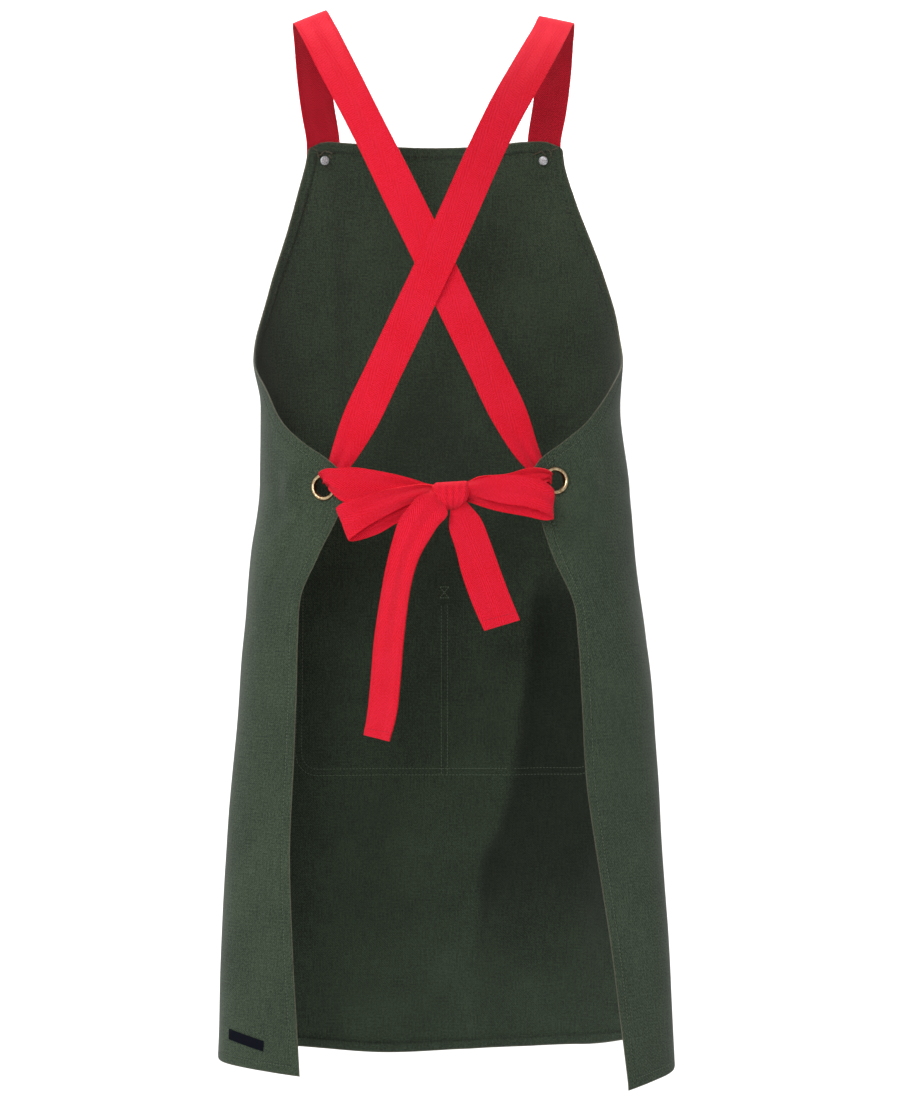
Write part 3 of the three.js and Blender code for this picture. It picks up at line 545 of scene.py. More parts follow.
def edge_round(inset):
    """Rounding of the turned edge, up to 1 a little inside it."""
    return smooth(-0.4, 1.3, inset)


def hem_roll(inset):
    """Share of the full hem thickness: rounded at the turned edge, and one layer inside the hem."""
    if inset > hem_width + 0.1:
        return cloth_thickness / hem_thickness
    return 0.35 + 0.65 * edge_round(inset)


def painted_fold_shade(around, down):
    """Painted shade on the inside, from 0 to 1: in the hollow beside the crease, and on the chest."""
    aside = around - read_table(crease_line, down)
    painted_hollow_shade = smooth(-3, 9, aside) * smooth(410, 450, down) * (1 - 0.85 * smooth(700, 850, down))
    painted_chest_shade = math.exp(-((around - 12) / 72) ** 2 - ((down - 335) / 100) ** 2)
    return max(painted_hollow_shade, 0.65 * painted_chest_shade)


panel_shape = cloth_grid(len(flat_places[0]) - 1, len(drops) - 1, panel_crossing)
# Painted shade on the inside of the panel: each crossing stores how dark the back is painted, beside the
# deep crease and on the chest.
painted_shade_layer = panel_shape.verts.layers.float.new("shelter")
edge_layer = panel_shape.verts.layers.float["edge"]
map_layer = panel_shape.loops.layers.uv["cloth"]
for vert in panel_shape.verts:
    across, along = vert.link_loops[0][map_layer].uv
    vert[painted_shade_layer] = painted_fold_shade(across / mm, -along / mm)
    inset = vert[edge_layer] / mm
    stitch_dip = 0.45 * math.exp(-((inset - seam_inset) / 0.8) ** 2)
    rolled = 0.45 * (1 - edge_round(inset))
    vert.co += vert.normal * (cloth_thickness / 2 - stitch_dip - rolled) * mm

# Round hole for each eyelet: faces inside it go, and its rim is drawn to the circle.
for wing in wings:
    centre = wing.eyelet * mm
    inside = [f for f in panel_shape.faces if (f.calc_center_median() - centre).length < hole_radius * mm]
    bmesh.ops.delete(panel_shape, geom=inside, context="FACES")
    for vert in panel_shape.verts:
        away = vert.co - centre
        if vert.is_boundary and away.length < 20 * mm:
            level = wing.axis * away.dot(wing.axis)
            vert.co = centre + level + (away - level).normalized() * hole_radius * mm

cloth_panel = into_object(panel_shape, "cloth_panel", outer_twill, inner_twill_and_shade)
thicken(cloth_panel, hem_thickness, -1.0, 1, hem_roll)
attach(cloth_panel, "root")
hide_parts("apron_panel")


# Stitches: matt green thread, sewn about three millimetres to the stitch through both layers. Each
# stitch is a small grain of thread that shows on both faces of the cloth.
thread_finish = Finish("green_thread", Base_Color=dyed(108, 120, 100), Roughness=0.8)
stitch_length, stitch_gap, thread_width, thread_flatness = 2.6, 3.3, 0.55, 0.42


def sewn(name, runs, finish, width=thread_width, length=stitch_length, gap=stitch_gap):
    """Rows of stitches. Each run is a list of (place, outward direction) in millimetres."""
    shape = bmesh.new()
    for run in runs:
        walked, wanted = 0.0, gap / 2
        for (place, up), (next_place, _) in zip(run, run[1:]):
            step = (next_place - place).length
            while step > 0 and wanted <= walked + step:
                middle = place.lerp(next_place, (wanted - walked) / step)
                along = (next_place - place).normalized()
                aside = along.cross(up).normalized()
                upright = aside.cross(along).normalized() * width * thread_flatness
                turn = Matrix((along * length / 2, aside * width / 2, upright)).transposed()
                bmesh.ops.create_icosphere(
                    shape, subdivisions=1, radius=1,
                    matrix=Matrix.Translation(middle * mm) @ (turn * mm).to_4x4())
                wanted += gap
            walked += step
    for face in shape.faces:
        face.smooth = True
    return into_object(shape, name, finish)


def panel_stitches(places, inside, hem=True):
    """Run of stitch places on one face of the panel, from flat places on it."""
    run = []
    for around, down in places:
        normal = outward(panel_point, around, down)
        lift = cloth_thickness / 2 - 0.1
        if inside:
            lift = -(hem_thickness if hem else cloth_thickness) + cloth_thickness / 2 + 0.05
        run.append((panel_point(around, down) + normal * lift, -normal if inside else normal))
    return run


edge_runs = []
for wing in wings:
    armhole_drops = [seam_inset + 2 * k for k in range(int((tip_drop - seam_inset) / 2))]
    edge_runs.append([place_in_panel(seam_inset, wing, d) for d in armhole_drops])
    back_drops = [tip_drop + 3 * k for k in range(int((apron_length - tip_drop - seam_inset) / 3) + 1)]
    edge_runs.append([place_in_panel(seam_inset, wing, d) for d in back_drops])
for drop in (seam_inset, apron_length - seam_inset):
    left, right = (panel_edge(w, drop) for w in wings)
    count = int((right - left - 2 * seam_inset) / 3)
    arounds = [left + seam_inset + (right - left - 2 * seam_inset) * k / count for k in range(count + 1)]
    edge_runs.append([(a, panel_down(a, drop, left, right)) for a in arounds])
hem_stitches = sewn(
    "hem_stitches",
    [panel_stitches(run, inside) for run in edge_runs for inside in (False, True)],
    thread_finish.material)
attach(hem_stitches, "root")


# Front pocket: a wide patch of the same twill on the chest side, open at the top, with rounded lower
# corners and a row of stitches down the middle that divides it in two.
pocket_width, pocket_height, pocket_drop, pocket_shift = 304, 187, 436, 9
pocket_corner, pocket_thickness, pocket_ease, pocket_gap = 26, 1.4, 2.4, 0.45
pocket_seams, pocket_hem, pocket_hem_lift, divider_half = (2.2, 8.6), 20, 0.7, 3


def pocket_place(share, fall):
    """Flat place on the panel under the pocket: share across from -1 to 1, and fall from its top."""
    low = max(0, fall - (pocket_height - pocket_corner))
    cut = pocket_corner - math.sqrt(max(0, pocket_corner ** 2 - low ** 2))
    half = pocket_width / 2 - cut * 0.92
    return pocket_shift + share * half, pocket_drop + fall


def pocket_lift(share, fall):
    """How far the pocket's face stands off the middle of the panel's cloth, below its top hem."""
    slack = math.sin(math.pi * abs(share)) * (1 - (fall / pocket_height) ** 2)
    return cloth_thickness / 2 + pocket_gap + pocket_ease * slack + pocket_thickness


pocket_columns = 90
pocket_falls = [0, 0.6, 2, 6, 10, 14, 18, 19, 20, 21, 24] + [
    24 + (pocket_height - 52) * k / 30 for k in range(1, 31)] + [
    pocket_height - 28 + 28 * math.sin(math.pi / 2 * k / 14) for k in range(1, 15)]


def pocket_crossing(j, i):
    share, fall = 2 * j / pocket_columns - 1, pocket_falls[i]
    around, down = pocket_place(share, fall)
    lift = pocket_lift(share, fall)
    lift += pocket_hem_lift * (1 - smooth(pocket_hem - 0.5, pocket_hem + 0.5, fall))
    inset = min(fall, pocket_height - fall, (1 - abs(share)) * pocket_width / 2)
    normal = outward(panel_point, around, down)
    return panel_point(around, down) + normal * lift, (around, -down + 300), inset


pocket_shape = cloth_grid(pocket_columns, len(pocket_falls) - 1, pocket_crossing)
pocket = into_object(pocket_shape, "pocket", outer_twill, inner_twill_and_shade)
thicken(pocket, pocket_thickness, -1.0, 1)
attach(pocket, "root")
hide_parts("front_pocket")

# Rows of stitches round the pocket: down each side, round the corner and along the bottom.
side_downs = [pocket_drop + 2 + 2.5 * k for k in range(int((pocket_height - pocket_corner) / 2.5))]
corner_turns = [math.pi / 2 * k / 14 for k in range(15)]
corner_aside = pocket_width / 2 - pocket_corner
corner_down = pocket_drop + pocket_height - pocket_corner
pocket_runs = []
for inset in pocket_seams:
    radius = pocket_corner - inset
    for side in (-1, 1):
        run = [(pocket_width / 2 - inset, down) for down in side_downs]
        run += [(corner_aside + radius * math.cos(t), corner_down + radius * math.sin(t))
                for t in corner_turns]
        run += [(corner_aside * (1 - k / 24), corner_down + radius) for k in range(1, 25)]
        pocket_runs.append([(pocket_shift + side * aside, down) for aside, down in run])
pocket_thread = Finish("pocket_thread", Base_Color=dyed(112, 126, 104), Roughness=0.8)
divider = [pocket_drop + 16 + (pocket_height - 18) * k / 60 for k in range(61)]
for aside in (-divider_half, divider_half):
    pocket_runs.append([(pocket_shift + aside, d) for d in divider])
pocket_stitches = sewn(
    "pocket_stitches", [panel_stitches(run, True, False) for run in pocket_runs], pocket_thread.material)


# Tacks: a crossed one in the pocket's thread at the top of the divider, and loose ends of a thicker
# brown thread round the two nails.
tack_top, tack_low, tack_half = pocket_drop - 2, pocket_drop + 9, 4.5
tack_corners = [
    (pocket_shift + side * tack_half, down) for down in (tack_top, tack_low) for side in (-1, 1)]
pocket_tack = [[tack_corners[a], tack_corners[b]] for a, b in ((0, 3), (1, 2), (0, 1), (2, 3))]
tack_stitches = sewn(
    "tack_stitches", [panel_stitches(run, True, False) for run in pocket_tack], pocket_thread.material,
    0.7, 2.1, 2.4)

nail_tacks = [
    [(-115.5, 10.2), (-110.8, 5.3), (-103.2, 7.4)], [(-124.2, 3.0), (-119, 5.4), (-117, 12)],
    [(-106.2, 9.5), (-103.0, 13.2)],
    [(97.5, 9.0), (102.4, 7.2), (106.1, 5.4), (109.9, 9.5)], [(112.3, 4.2), (116, 7.2), (116, 11.9)],
    [(116, 5.4), (124.2, 2.6)],
]
brown_thread = Finish("brown_thread", Base_Color=dyed(84, 78, 62), Roughness=0.8)
nail_stitches = sewn(
    "nail_stitches", [panel_stitches(run, True) for run in nail_tacks], brown_thread.material, 1.7, 3.4, 2.2)


def on_pocket(run):
    places = []
    for around, down in run:
        share = min(max((around - pocket_shift) / (pocket_width / 2), -1), 1)
        fall = min(max(down - pocket_drop, 0), pocket_height)
        normal = outward(panel_point, around, down)
        lift = pocket_lift(share, fall) - 0.05
        places.append((panel_point(around, down) + normal * lift, normal))
    return places


pocket_face_stitches = sewn(
    "pocket_face_stitches", [on_pocket(run) for run in pocket_runs], thread_finish.material)
for piece in (pocket_stitches, pocket_face_stitches, tack_stitches, nail_stitches):
    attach(piece, "root")


# Tapes: two flat red cotton tapes of herringbone weave, 34 mm wide. Each one is fixed under a stud on
# the bib's corner, goes over the shoulder, crosses the other one on the back and leaves through the
# eyelet of the far wing, bunched, for the knot.
tape_width, tape_thickness = 34, 1.5

# Along each tape: place, outward direction and width in millimetres, up to the eyelet.
tape_left = [
    (-109.8, 98.0, -149.9, -0.35, 0.93, 0.10, 34), (-110.0, 94.7, -124.8, -0.35, 0.93, 0.13, 34),
    (-110.1, 92.7, -106.0, -0.34, 0.94, 0.00, 34), (-114.8, 80.6, -75.6, -0.34, 0.92, 0.19, 34),
    (-118.2, 64.9, -47.4, -0.38, 0.85, 0.36, 34), (-119.7, 35.2, -15.9, -0.40, 0.60, 0.69, 34),
    (-119.5, 0.0, 1.2, -0.39, 0.00, 0.92, 34), (-111.4, -19.8, -13.1, -0.32, -0.35, 0.88, 34),
    (-94.2, -49.5, -48.8, -0.40, -0.68, 0.62, 34), (-73.4, -77.2, -91.2, -0.50, -0.84, 0.24, 34),
    (-51.4, -91.1, -135.8, -0.42, -0.90, 0.08, 34), (-27.3, -97.5, -184.8, -0.12, -1.00, 0.01, 34),
    (-3.1, -99.0, -233.9, 0.00, -1.00, 0.00, 34), (21.0, -94.4, -283.0, 0.00, -1.00, 0.00, 34),
    (47.4, -89.4, -336.5, 0.14, -0.99, 0.00, 34), (69.3, -85.3, -381.1, 0.20, -0.98, 0.00, 34),
    (86.9, -82.0, -416.8, 0.20, -0.98, 0.00, 23), (103.6, -79.6, -440.8, 0.13, -0.95, 0.28, 10),
]
tape_right = [
    (106.9, 99.1, -149.9, 0.32, 0.94, 0.10, 34), (107.2, 95.7, -124.8, 0.32, 0.94, 0.14, 34),
    (107.2, 93.7, -106.0, 0.32, 0.95, 0.00, 34), (111.9, 81.5, -76.7, 0.21, 0.96, 0.20, 34),
    (115.2, 65.6, -49.6, 0.23, 0.90, 0.38, 34), (116.7, 35.6, -19.3, 0.24, 0.64, 0.73, 34),
    (116.5, 0.0, -1.5, 0.23, 0.00, 0.97, 34), (109.0, -20.4, -17.2, 0.18, -0.35, 0.92, 34),
    (90.5, -51.0, -53.0, 0.24, -0.76, 0.60, 34), (67.9, -79.5, -95.5, 0.30, -0.92, 0.24, 34),
    (46.5, -93.7, -140.2, 0.30, -0.95, 0.08, 34), (24.7, -100.4, -189.5, 0.09, -1.00, 0.01, 34),
    (2.4, -101.9, -238.7, 0.00, -1.00, 0.00, 34), (-21.3, -96.6, -287.9, 0.00, -1.00, 0.00, 34),
    (-47.2, -90.7, -341.7, -0.14, -0.99, 0.00, 34), (-68.7, -85.9, -386.4, -0.20, -0.98, 0.00, 34),
    (-85.9, -82.0, -422.2, -0.20, -0.98, 0.00, 23), (-98.8, -79.3, -447.0, -0.24, -0.92, 0.30, 12),
]


tape_pitch, tape_weft_pitch, painted_shade_length = 2.6, 1.2, 600.0


def herringbone_tape(name, deep, bright, painted_chest_shade=None):
    """Cotton tape: diagonal ribs that turn back at the middle, and a firm woven edge. The side that
    lies inside the form, up to the eyelet, may carry painted shade: a deeper red of its own pair of colours."""
    finish = Finish(name, Sheen_Weight=0.05, Sheen_Roughness=0.45, Specular_IOR_Level=0.15)
    across, along = finish.flat()
    turned = finish.maths("PINGPONG", across + 200, tape_width / 4)
    rib = finish.ribs(turned * 1.5 + along, tape_pitch)
    weft = finish.ribs(along, tape_weft_pitch)
    speckle = finish.spots(across, along, 1.5, 3.0)
    cloud = finish.spots(across, along, 34, 2.0, 5.0)
    tone = (rib * 1.1 + weft * 0.2 + speckle * 2.8 + cloud * 0.8 - 1.85).clamped()
    colour = finish.mix(tone, deep, bright)
    # Painted shade: up to a set length along the tape, the inner face takes a deeper red.
    if painted_chest_shade:
        colour = finish.mix(along < painted_shade_length, colour, finish.mix(tone, *painted_chest_shade))
    edge = finish.attribute("edge") * 1000
    selvedge = (1 - edge / 1.2).clamped()
    finish.set("Base Color", finish.mix(selvedge * 0.5, colour, deep))
    finish.set("Roughness", speckle * 0.15 + 0.75)
    finish.set("Normal", finish.bump(rib * 0.8 + speckle * 0.5, 0.8, 0.0008))
    return finish.material


red_tape = herringbone_tape("red_tape", dyed(240, 3, 24), dyed(255, 42, 72))
# Inner face of the shoulder tapes: painted shade, a deeper red along the stretch up to the eyelet.
red_tape_inside_painted_shade = herringbone_tape(
    "red_tape_inside_painted_shade", dyed(240, 3, 24), dyed(255, 42, 72), (dyed(158, 12, 28), dyed(220, 34, 56)))


def spline(rows, steps):
    """Smooth line through the rows of a route, each span in so many steps."""
    points = [tuple(2 * a - b for a, b in zip(rows[0], rows[1])), *rows,
              tuple(2 * a - b for a, b in zip(rows[-1], rows[-2]))]
    knots = [0.0]
    for before, after in zip(points, points[1:]):
        knots.append(knots[-1] + math.dist(before[:3], after[:3]) ** 0.5)

    def blend(a, b, low, high, t):
        share = (t - low) / (high - low)
        return [p + (q - p) * share for p, q in zip(a, b)]

    line = []
    for k in range(1, len(points) - 2):
        p0, p1, p2, p3 = points[k - 1:k + 3]
        t0, t1, t2, t3 = knots[k - 1:k + 3]
        for step in range(steps + (k == len(points) - 3)):
            t = t1 + (t2 - t1) * step / steps
            a, b, c = blend(p0, p1, t0, t1, t), blend(p1, p2, t1, t2, t), blend(p2, p3, t2, t3, t)
            d, e = blend(a, b, t0, t2, t), blend(b, c, t1, t3, t)
            line.append(blend(d, e, t1, t2, t))
    return line


pixel_size, photo_middle = 0.955, (450, 550.5)


def seen(across, down, depth):
    """Place of a spot of the photograph, 900 by 1101 pixels, at a depth in millimetres."""
    x, y, z = (length / mm for length in camera_place)
    scale = pixel_size * (depth - y) / -y
    return x + (across - photo_middle[0]) * scale, depth, z - (down - photo_middle[1]) * scale


def edges_seen(rows, steps):
    """Both edges of a tape from rows of across, down and depth of the one edge and of the other."""
    first = spline([seen(*row[:3]) for row in rows], steps)
    second = spline([seen(*row[3:]) for row in rows], steps)
    return [(Vector(a), Vector(b)) for a, b in zip(first, second)]


def edges_of_route(route, steps):
    """Both edges of a tape along a route of places, outward directions and widths."""
    line = spline(route, steps)
    edges = []
    for k, row in enumerate(line):
        before, after = line[max(k - 1, 0)], line[min(k + 1, len(line) - 1)]
        tangent = (Vector(after[:3]) - Vector(before[:3])).normalized()
        half = tangent.cross(Vector(row[3:6])).normalized() * row[6] / 2
        edges.append((Vector(row[:3]) - half, Vector(row[:3]) + half))
    return edges


class Ribbon:
    """Tape between two edges, gathered into pleats where it is narrower than it lies flat."""

    def __init__(self, edges, pleats=2.5, depth=3.0, hem=0.0):
        self.edges, self.pleats, self.depth, self.hem = edges, pleats, depth, hem
        middles = [(a + b) / 2 for a, b in edges]
        self.walked = [0.0]
        for before, after in zip(middles, middles[1:]):
            self.walked.append(self.walked[-1] + (after - before).length)
        self.length = self.walked[-1]
        self.normals = []
        for k, (a, b) in enumerate(edges):
            tangent = middles[min(k + 1, len(edges) - 1)] - middles[max(k - 1, 0)]
            self.normals.append((b - a).cross(tangent).normalized())

    def point(self, share, row):
        a, b = self.edges[row]
        spare = max(0.0, 1 - (b - a).length / tape_width)
        along = row / (len(self.edges) - 1)
        lift = self.depth * spare * math.cos(2 * math.pi * self.pleats * share + 4 * along)
        lift -= 0.25 * (2 * abs(share)) ** 6
        if self.hem:
            lift += 0.5 * smooth(self.hem + 0.8, self.hem - 0.4, self.length - self.walked[row])
        return a.lerp(b, share + 0.5) + self.normals[row] * lift

    def grid(self, columns=26):
        def crossing(j, i):
            share = j / columns - 0.5
            inset = (0.5 - abs(share)) * tape_width
            return self.point(share, i), (share * tape_width, self.walked[i]), inset

        return cloth_grid(columns, len(self.edges) - 1, crossing)

    def stitch_rows(self, before_end):
        """Row of stitches across the tape, so far before its end, on both of its faces."""
        row = min(range(len(self.walked)), key=lambda k: abs(self.length - self.walked[k] - before_end))
        places = [self.point(-0.44 + 0.88 * k / 20, row) for k in range(21)]
        normal = self.normals[row]
        return [[(p + normal * side * (tape_thickness / 2 + 0.05), normal * side) for p in places]
                for side in (1, -1)]


def tape_piece(name, node, ribbon, inside=None):
    piece = into_object(ribbon.grid(), name, red_tape, inside or red_tape)
    thicken(piece, tape_thickness, inner_finish=1)
    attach(piece, "root")
    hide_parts(node)


# From the eyelets to the knot: both edges as they are seen in the photograph.
strand_right_edges = [
    (549.5, 475, -86.0, 549.5, 484, -86.0), (550, 471.7, -91.0, 547.6, 480.5, -91.0),
    (543, 468.6, -95.0, 541, 486, -94.5), (529, 468.1, -97.5, 529, 492, -97.0),
    (506.5, 474, -99.5, 508, 500, -99.5), (479, 476.7, -101.5, 480, 503, -101.5),
    (467, 482, -103.0, 467, 500, -103.0), (449, 485, -104.0, 449, 501, -104.0),
]
strand_left_edges = [
    (331, 488.5, -84.5, 325, 479, -84.5), (331, 489.5, -90.0, 319.8, 472.6, -90.5),
    (335, 495, -93.5, 325.5, 469, -94.0), (343, 501.5, -96.5, 337, 468.2, -96.5),
    (358, 503.5, -98.5, 354, 467.4, -98.5), (376, 503.5, -100.0, 373, 470, -100.0),
    (396, 503, -101.5, 393.6, 474, -101.5), (414, 502, -103.0, 412, 478.6, -103.0),
    (432, 500, -104.0, 430, 484.5, -104.0), (448, 501, -104.0, 448, 485, -104.0),
]
for name, node, route, strand in (
    ("tape_left", "strap_left", tape_left, strand_right_edges),
    ("tape_right", "strap_right", tape_right, strand_left_edges),
):
    edges = edges_of_route(route, 9) + edges_seen(strand, 9)
    # The inside face of these two tapes carries painted shade, a deeper red.
    tape_piece(name, node, Ribbon(edges, 2.0, 2.4), red_tape_inside_painted_shade)


# Knot: one turn of the tape pulled tight round the other, so that it is wide above and narrow below.
knot_centre = Vector((14.9, -110.9, -457.6))
knot_half, knot_half_high, knot_half_deep = 17.6, 13.9, 12

# Half width of the knot from its lowest point (-1) to its highest one (1).
knot_form = [(-1.0, 0.30), (-0.85, 0.50), (-0.6, 0.76), (-0.2, 0.90), (0.3, 0.97), (1.0, 1.0)]


knot_columns, knot_rows, knot_wall, knot_squareness = 44, 72, 1.4, 0.7


def knot_crossing(j, i):
    share = 2 * j / knot_columns - 1
    turn = 2 * math.pi * i / knot_rows
    high, deep = math.cos(turn), math.sin(turn)
    level = math.copysign(abs(high) ** knot_squareness, high)
    front = math.copysign(abs(deep) ** knot_squareness, deep)
    curl = 1 - 0.5 * smooth(0.72, 1.0, abs(share)) ** 1.5
    rib = 0.55 * math.sin(share * 17 + 1.1 * math.sin(turn)) * (1 - share * share)
    x = knot_half * read_table(knot_form, level) * share
    y = -(knot_half_deep - knot_wall + rib) * front * curl
    z = (knot_half_high - 0.8) * level * (0.62 + 0.38 * curl)
    point = knot_centre + Vector((x + 0.8, y, z + 0.06 * x))
    return point, (share * tape_width / 2, 90 * i / knot_rows), (1 - abs(share)) * tape_width / 2


knot_shape = cloth_grid(knot_columns, knot_rows, knot_crossing)
bmesh.ops.remove_doubles(knot_shape, verts=knot_shape.verts, dist=1e-6)
bmesh.ops.recalc_face_normals(knot_shape, faces=knot_shape.faces)
knot = into_object(knot_shape, "knot", red_tape)
thicken(knot, knot_wall, -1.0)
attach(knot, "root")
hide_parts("bow_knot")


# Bow: two loops and two tails of the same tapes. Their edges are read off the photograph. The tails
# end in a narrow hem with a row of stitches.
loop_left_edges = [
    (440, 501, -112.5, 440, 486, -112.5), (423, 501, -114.0, 423, 484.3, -113.5),
    (408, 505, -115.5, 408, 486, -114.5), (391, 513, -116.5, 386, 490, -115.5),
    (370, 524.5, -117.0, 362, 496, -116.5), (354.5, 535.5, -116.0, 345, 501.5, -116.0),
    (349, 540.3, -112.0, 336.6, 508.5, -112.0), (355, 541, -108.4, 340, 511, -108.6),
    (378.8, 533.4, -108.0, 366, 505, -108.0), (397, 523, -107.9, 390, 499, -107.9),
    (437, 504, -107.9, 436, 488, -107.9),
]
loop_right_edges = [
    (460, 483, -112.9, 460, 490, -112.9), (480, 478.5, -117.5, 480, 497.8, -118.0),
    (504, 474.6, -120.0, 503, 503.6, -120.8), (527, 476.6, -121.0, 527, 507.0, -121.6),
    (544, 481.2, -120.4, 546, 513.6, -120.6), (553.6, 490.5, -116.9, 552.8, 518.6, -116.9),
    (547, 492, -113.4, 546, 520.4, -113.4), (527, 488, -113.4, 527, 516.5, -113.6),
    (492, 486, -113.0, 492, 509.6, -113.2), (462, 488, -108.5, 462, 499.0, -108.5),
]
tail_left_edges = [
    (441, 498, -119.0, 429, 489.7, -119.5), (446, 507, -122.0, 418, 496, -123.5),
    (447.3, 515, -124.0, 408.4, 507, -123.5), (438, 526, -125.5, 399.2, 520, -121.0),
    (429.5, 539, -126.5, 393.6, 537, -117.0), (419.5, 556.5, -127.0, 387.2, 562, -112.5),
    (411, 584, -126.5, 381.5, 592, -109.0), (404, 634, -126.0, 374.3, 640, -107.0),
    (400.2, 680, -125.0, 370.8, 682, -106.5), (396.7, 712.6, -124.5, 367.8, 712, -106.5),
    (389.6, 741.5, -124.5, 364.3, 735, -106.5),
]
tail_right_edges = [
    (463, 495, -114.5, 452, 498, -115.0), (468.5, 504, -115.0, 450.4, 511, -115.6),
    (480.5, 518.4, -116.0, 449.2, 527.6, -117.0), (489.7, 540.6, -116.0, 455.6, 549, -118.0),
    (499, 566.5, -115.0, 462, 574.5, -117.5), (510, 596, -114.0, 472, 603, -116.5),
    (519.9, 620, -113.0, 484.2, 630.8, -115.0),
]
tail_hem = 7.6
loops = [
    ("loop_left", "bow_loop_left", Ribbon(edges_seen(loop_left_edges, 9), 1.4, 3.0)),
    ("loop_right", "bow_loop_right", Ribbon(edges_seen(loop_right_edges, 9), 1.1, 2.4)),
]
tails = [
    ("tail_left", "bow_tail_left", Ribbon(edges_seen(tail_left_edges, 10), 1.2, 2.6, tail_hem)),
    ("tail_right", "bow_tail_right", Ribbon(edges_seen(tail_right_edges, 12), 1.2, 2.6, tail_hem)),
]
for name, node, ribbon in loops + tails:
    tape_piece(name, node, ribbon)

red_thread = Finish("red_thread", Base_Color=dyed(186, 20, 40), Roughness=0.8)
tail_stitches = sewn(
    "tail_stitches", [run for _, _, ribbon in tails for run in ribbon.stitch_rows(tail_hem)],
    red_thread.material, 0.6, 2.2, 2.9)
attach(tail_stitches, "root")


# Eyelets: pressed from sheet brass with an antique finish. A rolled rim lies on the outside, a barrel
# goes through the hem of the wing's tip, and a washer closes it on the inside.
eyelet_profile = [
    (9.2, -2.9), (12.0, -3.0), (12.8, -2.7), (13.0, -2.2), (12.7, -1.98), (10.1, -1.98), (10.1, 1.05),
    (12.8, 1.05), (13.0, 1.4), (12.75, 2.1), (12.1, 2.62), (11.3, 2.85), (10.5, 2.72), (9.75, 2.3),
    (9.3, 1.6), (9.2, 0.6),
]


turned_steps, sharp_from = 64, 35


def turned_part(name, profile, place, axis, finish, dull=None, crest=(0, 99)):
    """Part turned round an axis, from a closed outline of radius and height in millimetres. Off its
    crest, given as two radii, it may have a duller finish."""
    shape = bmesh.new()
    verts = [shape.verts.new((radius * mm, 0, height * mm)) for radius, height in profile]
    edges = [shape.edges.new((a, b)) for a, b in zip(verts, verts[1:] + verts[:1])]
    bmesh.ops.spin(
        shape, geom=verts + edges, cent=(0, 0, 0), axis=(0, 0, 1), angle=2 * math.pi,
        steps=turned_steps, use_merge=True)
    bmesh.ops.remove_doubles(shape, verts=shape.verts, dist=1e-7)
    bmesh.ops.recalc_face_normals(shape, faces=shape.faces)
    for face in shape.faces:
        face.smooth = True
        radius = face.calc_center_median().xy.length / mm
        face.material_index = int(dull is not None and not crest[0] < radius < crest[1])
    stand = Vector((0, 0, 1)).rotation_difference(axis).to_matrix().to_4x4()
    shape.transform(Matrix.Translation(place * mm) @ stand)
    part = into_object(shape, name, finish, dull or finish)
    part.data.set_sharp_from_angle(angle=math.radians(sharp_from))
    return part


def pressed_metal(name, shine, shade, rough, grain_scale=420.0, metallic=1.0):
    """Plated metal that has gone dull and brown in the hollows, with fine scratches."""
    finish = Finish(name, Metallic=metallic)
    place = finish.node("TexCoord", None, None, 3)
    patina = finish.node("TexNoise", None, {"Vector": place, "Scale": grain_scale, "Detail": 4.0})
    grain = finish.node("TexNoise", None, {"Vector": place, "Scale": 2600.0, "Detail": 2.0})
    finish.set("Base Color", finish.mix((patina * 3.0 - 1.1).clamped(), shine, shade))
    finish.set("Roughness", patina * 0.25 + rough)
    finish.set("Normal", finish.bump(grain, 0.25, 0.0001))
    return finish.material


antique_brass = pressed_metal("antique_brass", dyed(244, 222, 180), dyed(176, 140, 96), 0.25)
dark_brass = pressed_metal("dark_brass", dyed(120, 88, 58), dyed(58, 40, 28), 0.35)
for wing in wings:
    eyelet = turned_part(
        f"brass_eyelet_{wing.name}", eyelet_profile, wing.eyelet, wing.axis, antique_brass, dark_brass,
        (9.8, 12.4))
    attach(eyelet, "root")
    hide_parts(f"eyelet_{wing.name}")


# Studs: a domed nickel head on the chest side holds the tape to the bib's corner. Its nail comes
# through and is closed by a small round cap on the inside.
stud_profile = [
    (0, -3.5), (2.0, -3.55), (3.0, -3.5), (3.9, -3.3), (4.4, -2.8), (4.5, -1.95), (1.6, -1.95),
    (1.6, 3.3), (8.3, 3.3), (8.5, 3.6), (8.5, 4.7), (8.2, 5.3), (7.4, 5.9), (6.3, 6.3), (5.7, 6.2),
    (5.3, 5.9), (4.0, 6.4), (2.0, 6.7), (0, 6.8),
]
nickel = pressed_metal("dull_nickel", dyed(226, 232, 234), dyed(92, 98, 104), 0.35, 1100.0, 0.7)
for wing, around in zip(wings, nail_arounds):
    axis = outward(panel_point, around, nail_down)
    stud = turned_part(
        f"nail_stud_{wing.name}", stud_profile, panel_point(around, nail_down), axis, nickel)
    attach(stud, "root")
    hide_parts(f"stud_{wing.name}")


# Label: a small plain ribbon of fine navy yarn, sewn flat on the outside of the left wing, near its
# hem and its back edge.
label_width, label_height, label_thickness, label_lift, label_tilt = 40, 9.6, 0.6, 21.2, 8
label_share, label_columns, label_rows, label_gap = -0.856, 40, 10, 0.45
label_across = label_share * flat_half
label_top = apron_length * (1 - read_table(hem_line, label_share)) - label_lift - label_height


def label_crossing(j, i):
    across, fall = j / label_columns, i / label_rows
    around = label_across + (across - 0.5) * label_width
    down = label_top + fall * label_height - label_tilt * (across - 0.5)
    normal = outward(panel_point, around, down)
    point = panel_point(around, down) + normal * (cloth_thickness / 2 + label_gap + label_thickness)
    inset = min(min(across, 1 - across) * label_width, min(fall, 1 - fall) * label_height)
    return point, (around, -down), inset


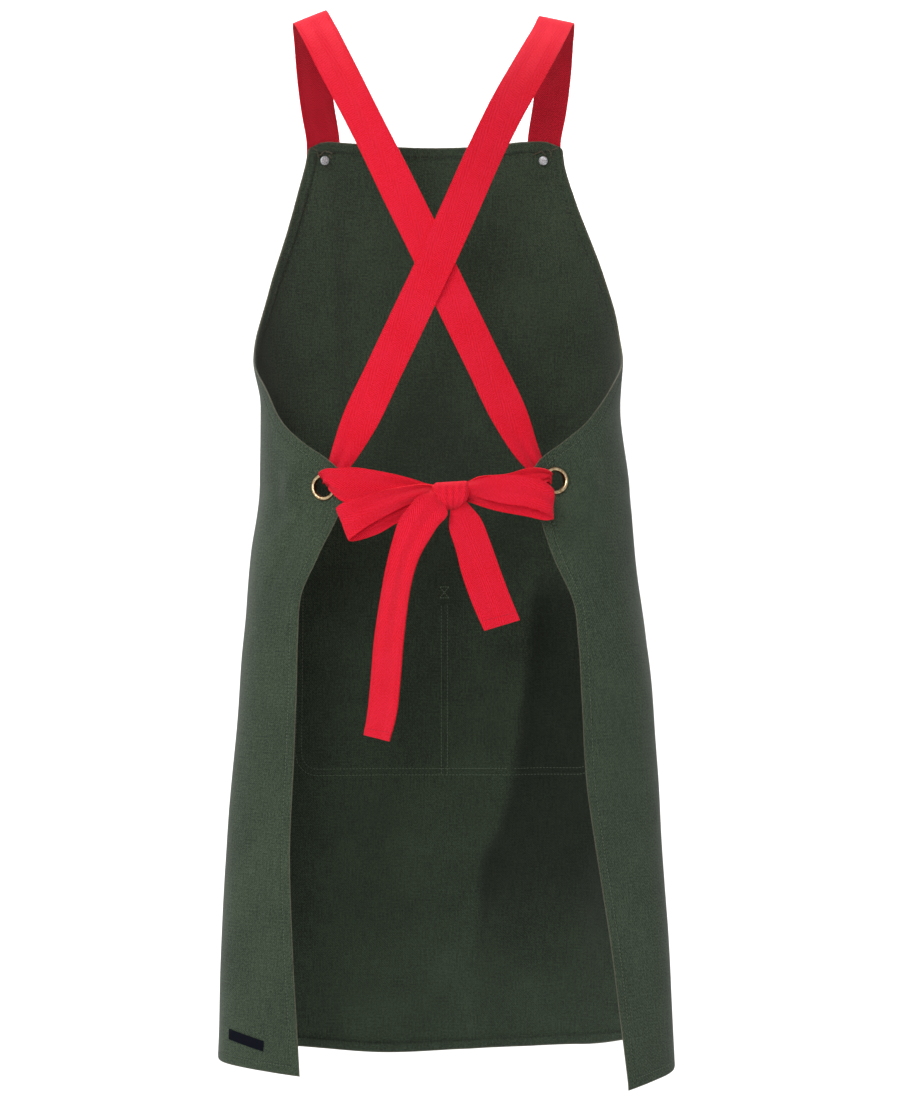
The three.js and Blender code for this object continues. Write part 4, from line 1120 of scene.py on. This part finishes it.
label_finish = Finish("navy_label", Specular_IOR_Level=0.12)
across, along = label_finish.flat()
rib = label_finish.ribs(along, 0.5)
fleck = label_finish.spots(across, along, 0.8, 2.0)
label_finish.set(
    "Base Color", label_finish.mix(rib * 0.3 + fleck * 0.5, dyed(4, 6, 16), dyed(15, 18, 32)))
label_finish.set("Roughness", fleck * 0.2 + 0.7)
label_finish.set("Normal", label_finish.bump(rib, 0.3, 0.0002))
label_shape = cloth_grid(label_columns, label_rows, label_crossing)
label = into_object(label_shape, "woven_label", label_finish.material)
thicken(label, label_thickness, -1.0)
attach(label, "root")
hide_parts("hem_label")


# Studio: a plain pale floor that runs up into a wall, and large soft lights. Sizes are in metres: the
# floor runs from under the camera, turns up on a round bend and goes on as the wall.
stage_half, stage_length, floor_length, floor_level, quarter_turn = 5, 9, 4.4, -1.45, 1.57
stage_shape = bmesh.new()
bmesh.ops.create_grid(stage_shape, x_segments=4, y_segments=48, size=1)
for vert in stage_shape.verts:
    run = (vert.co.y + 1) / 2 * stage_length
    turn = min(max(run - floor_length, 0), quarter_turn)
    y = camera_place[1] + min(run, floor_length) + math.sin(turn)
    z = floor_level + 1 - math.cos(turn) + max(0, run - floor_length - quarter_turn)
    vert.co = Vector((vert.co.x * stage_half, y, z))
for face in stage_shape.faces:
    face.smooth = True
stage_finish = Finish("pale_floor", Base_Color=(0.70, 0.70, 0.70, 1), Roughness=0.9)
floor = into_object(stage_shape, "floor", stage_finish.material)

world = bpy.data.worlds.new("studio")
world.use_nodes = True
world.node_tree.nodes["Background"].inputs["Color"].default_value = (1, 1, 1, 1)
world.node_tree.nodes["Background"].inputs["Strength"].default_value = 0.3
bpy.context.scene.world = world
bpy.context.scene.view_settings.view_transform = "Standard"


def soft_light(name, place, aim, size, power):
    lamp = bpy.data.lights.new(name, "AREA")
    lamp.shape, lamp.size, lamp.size_y, lamp.energy = "RECTANGLE", *size, power
    holder = bpy.data.objects.new(name, lamp)
    bpy.context.scene.collection.objects.link(holder)
    holder.location = place
    holder.rotation_euler = (Vector(aim) - Vector(place)).to_track_quat("-Z", "Y").to_euler()


soft_light("key", (-1.7, -2.5, 1.5), (0, 0, -0.5), (1.5, 1.5), 48)
soft_light("fill", (2.2, -2.4, 0.2), (0, 0, -0.5), (1.6, 2.0), 2)
soft_light("front", (-0.45, -3.0, 0.1), (0, 0, -0.5), (0.8, 0.8), 23)
soft_light("top", (0, 0.2, 1.6), (0, 0, -0.5), (1.6, 1.2), 6)
soft_light("wall", (0, 1.0, 1.8), (0, 3.0, -0.4), (3.0, 1.0), 150)
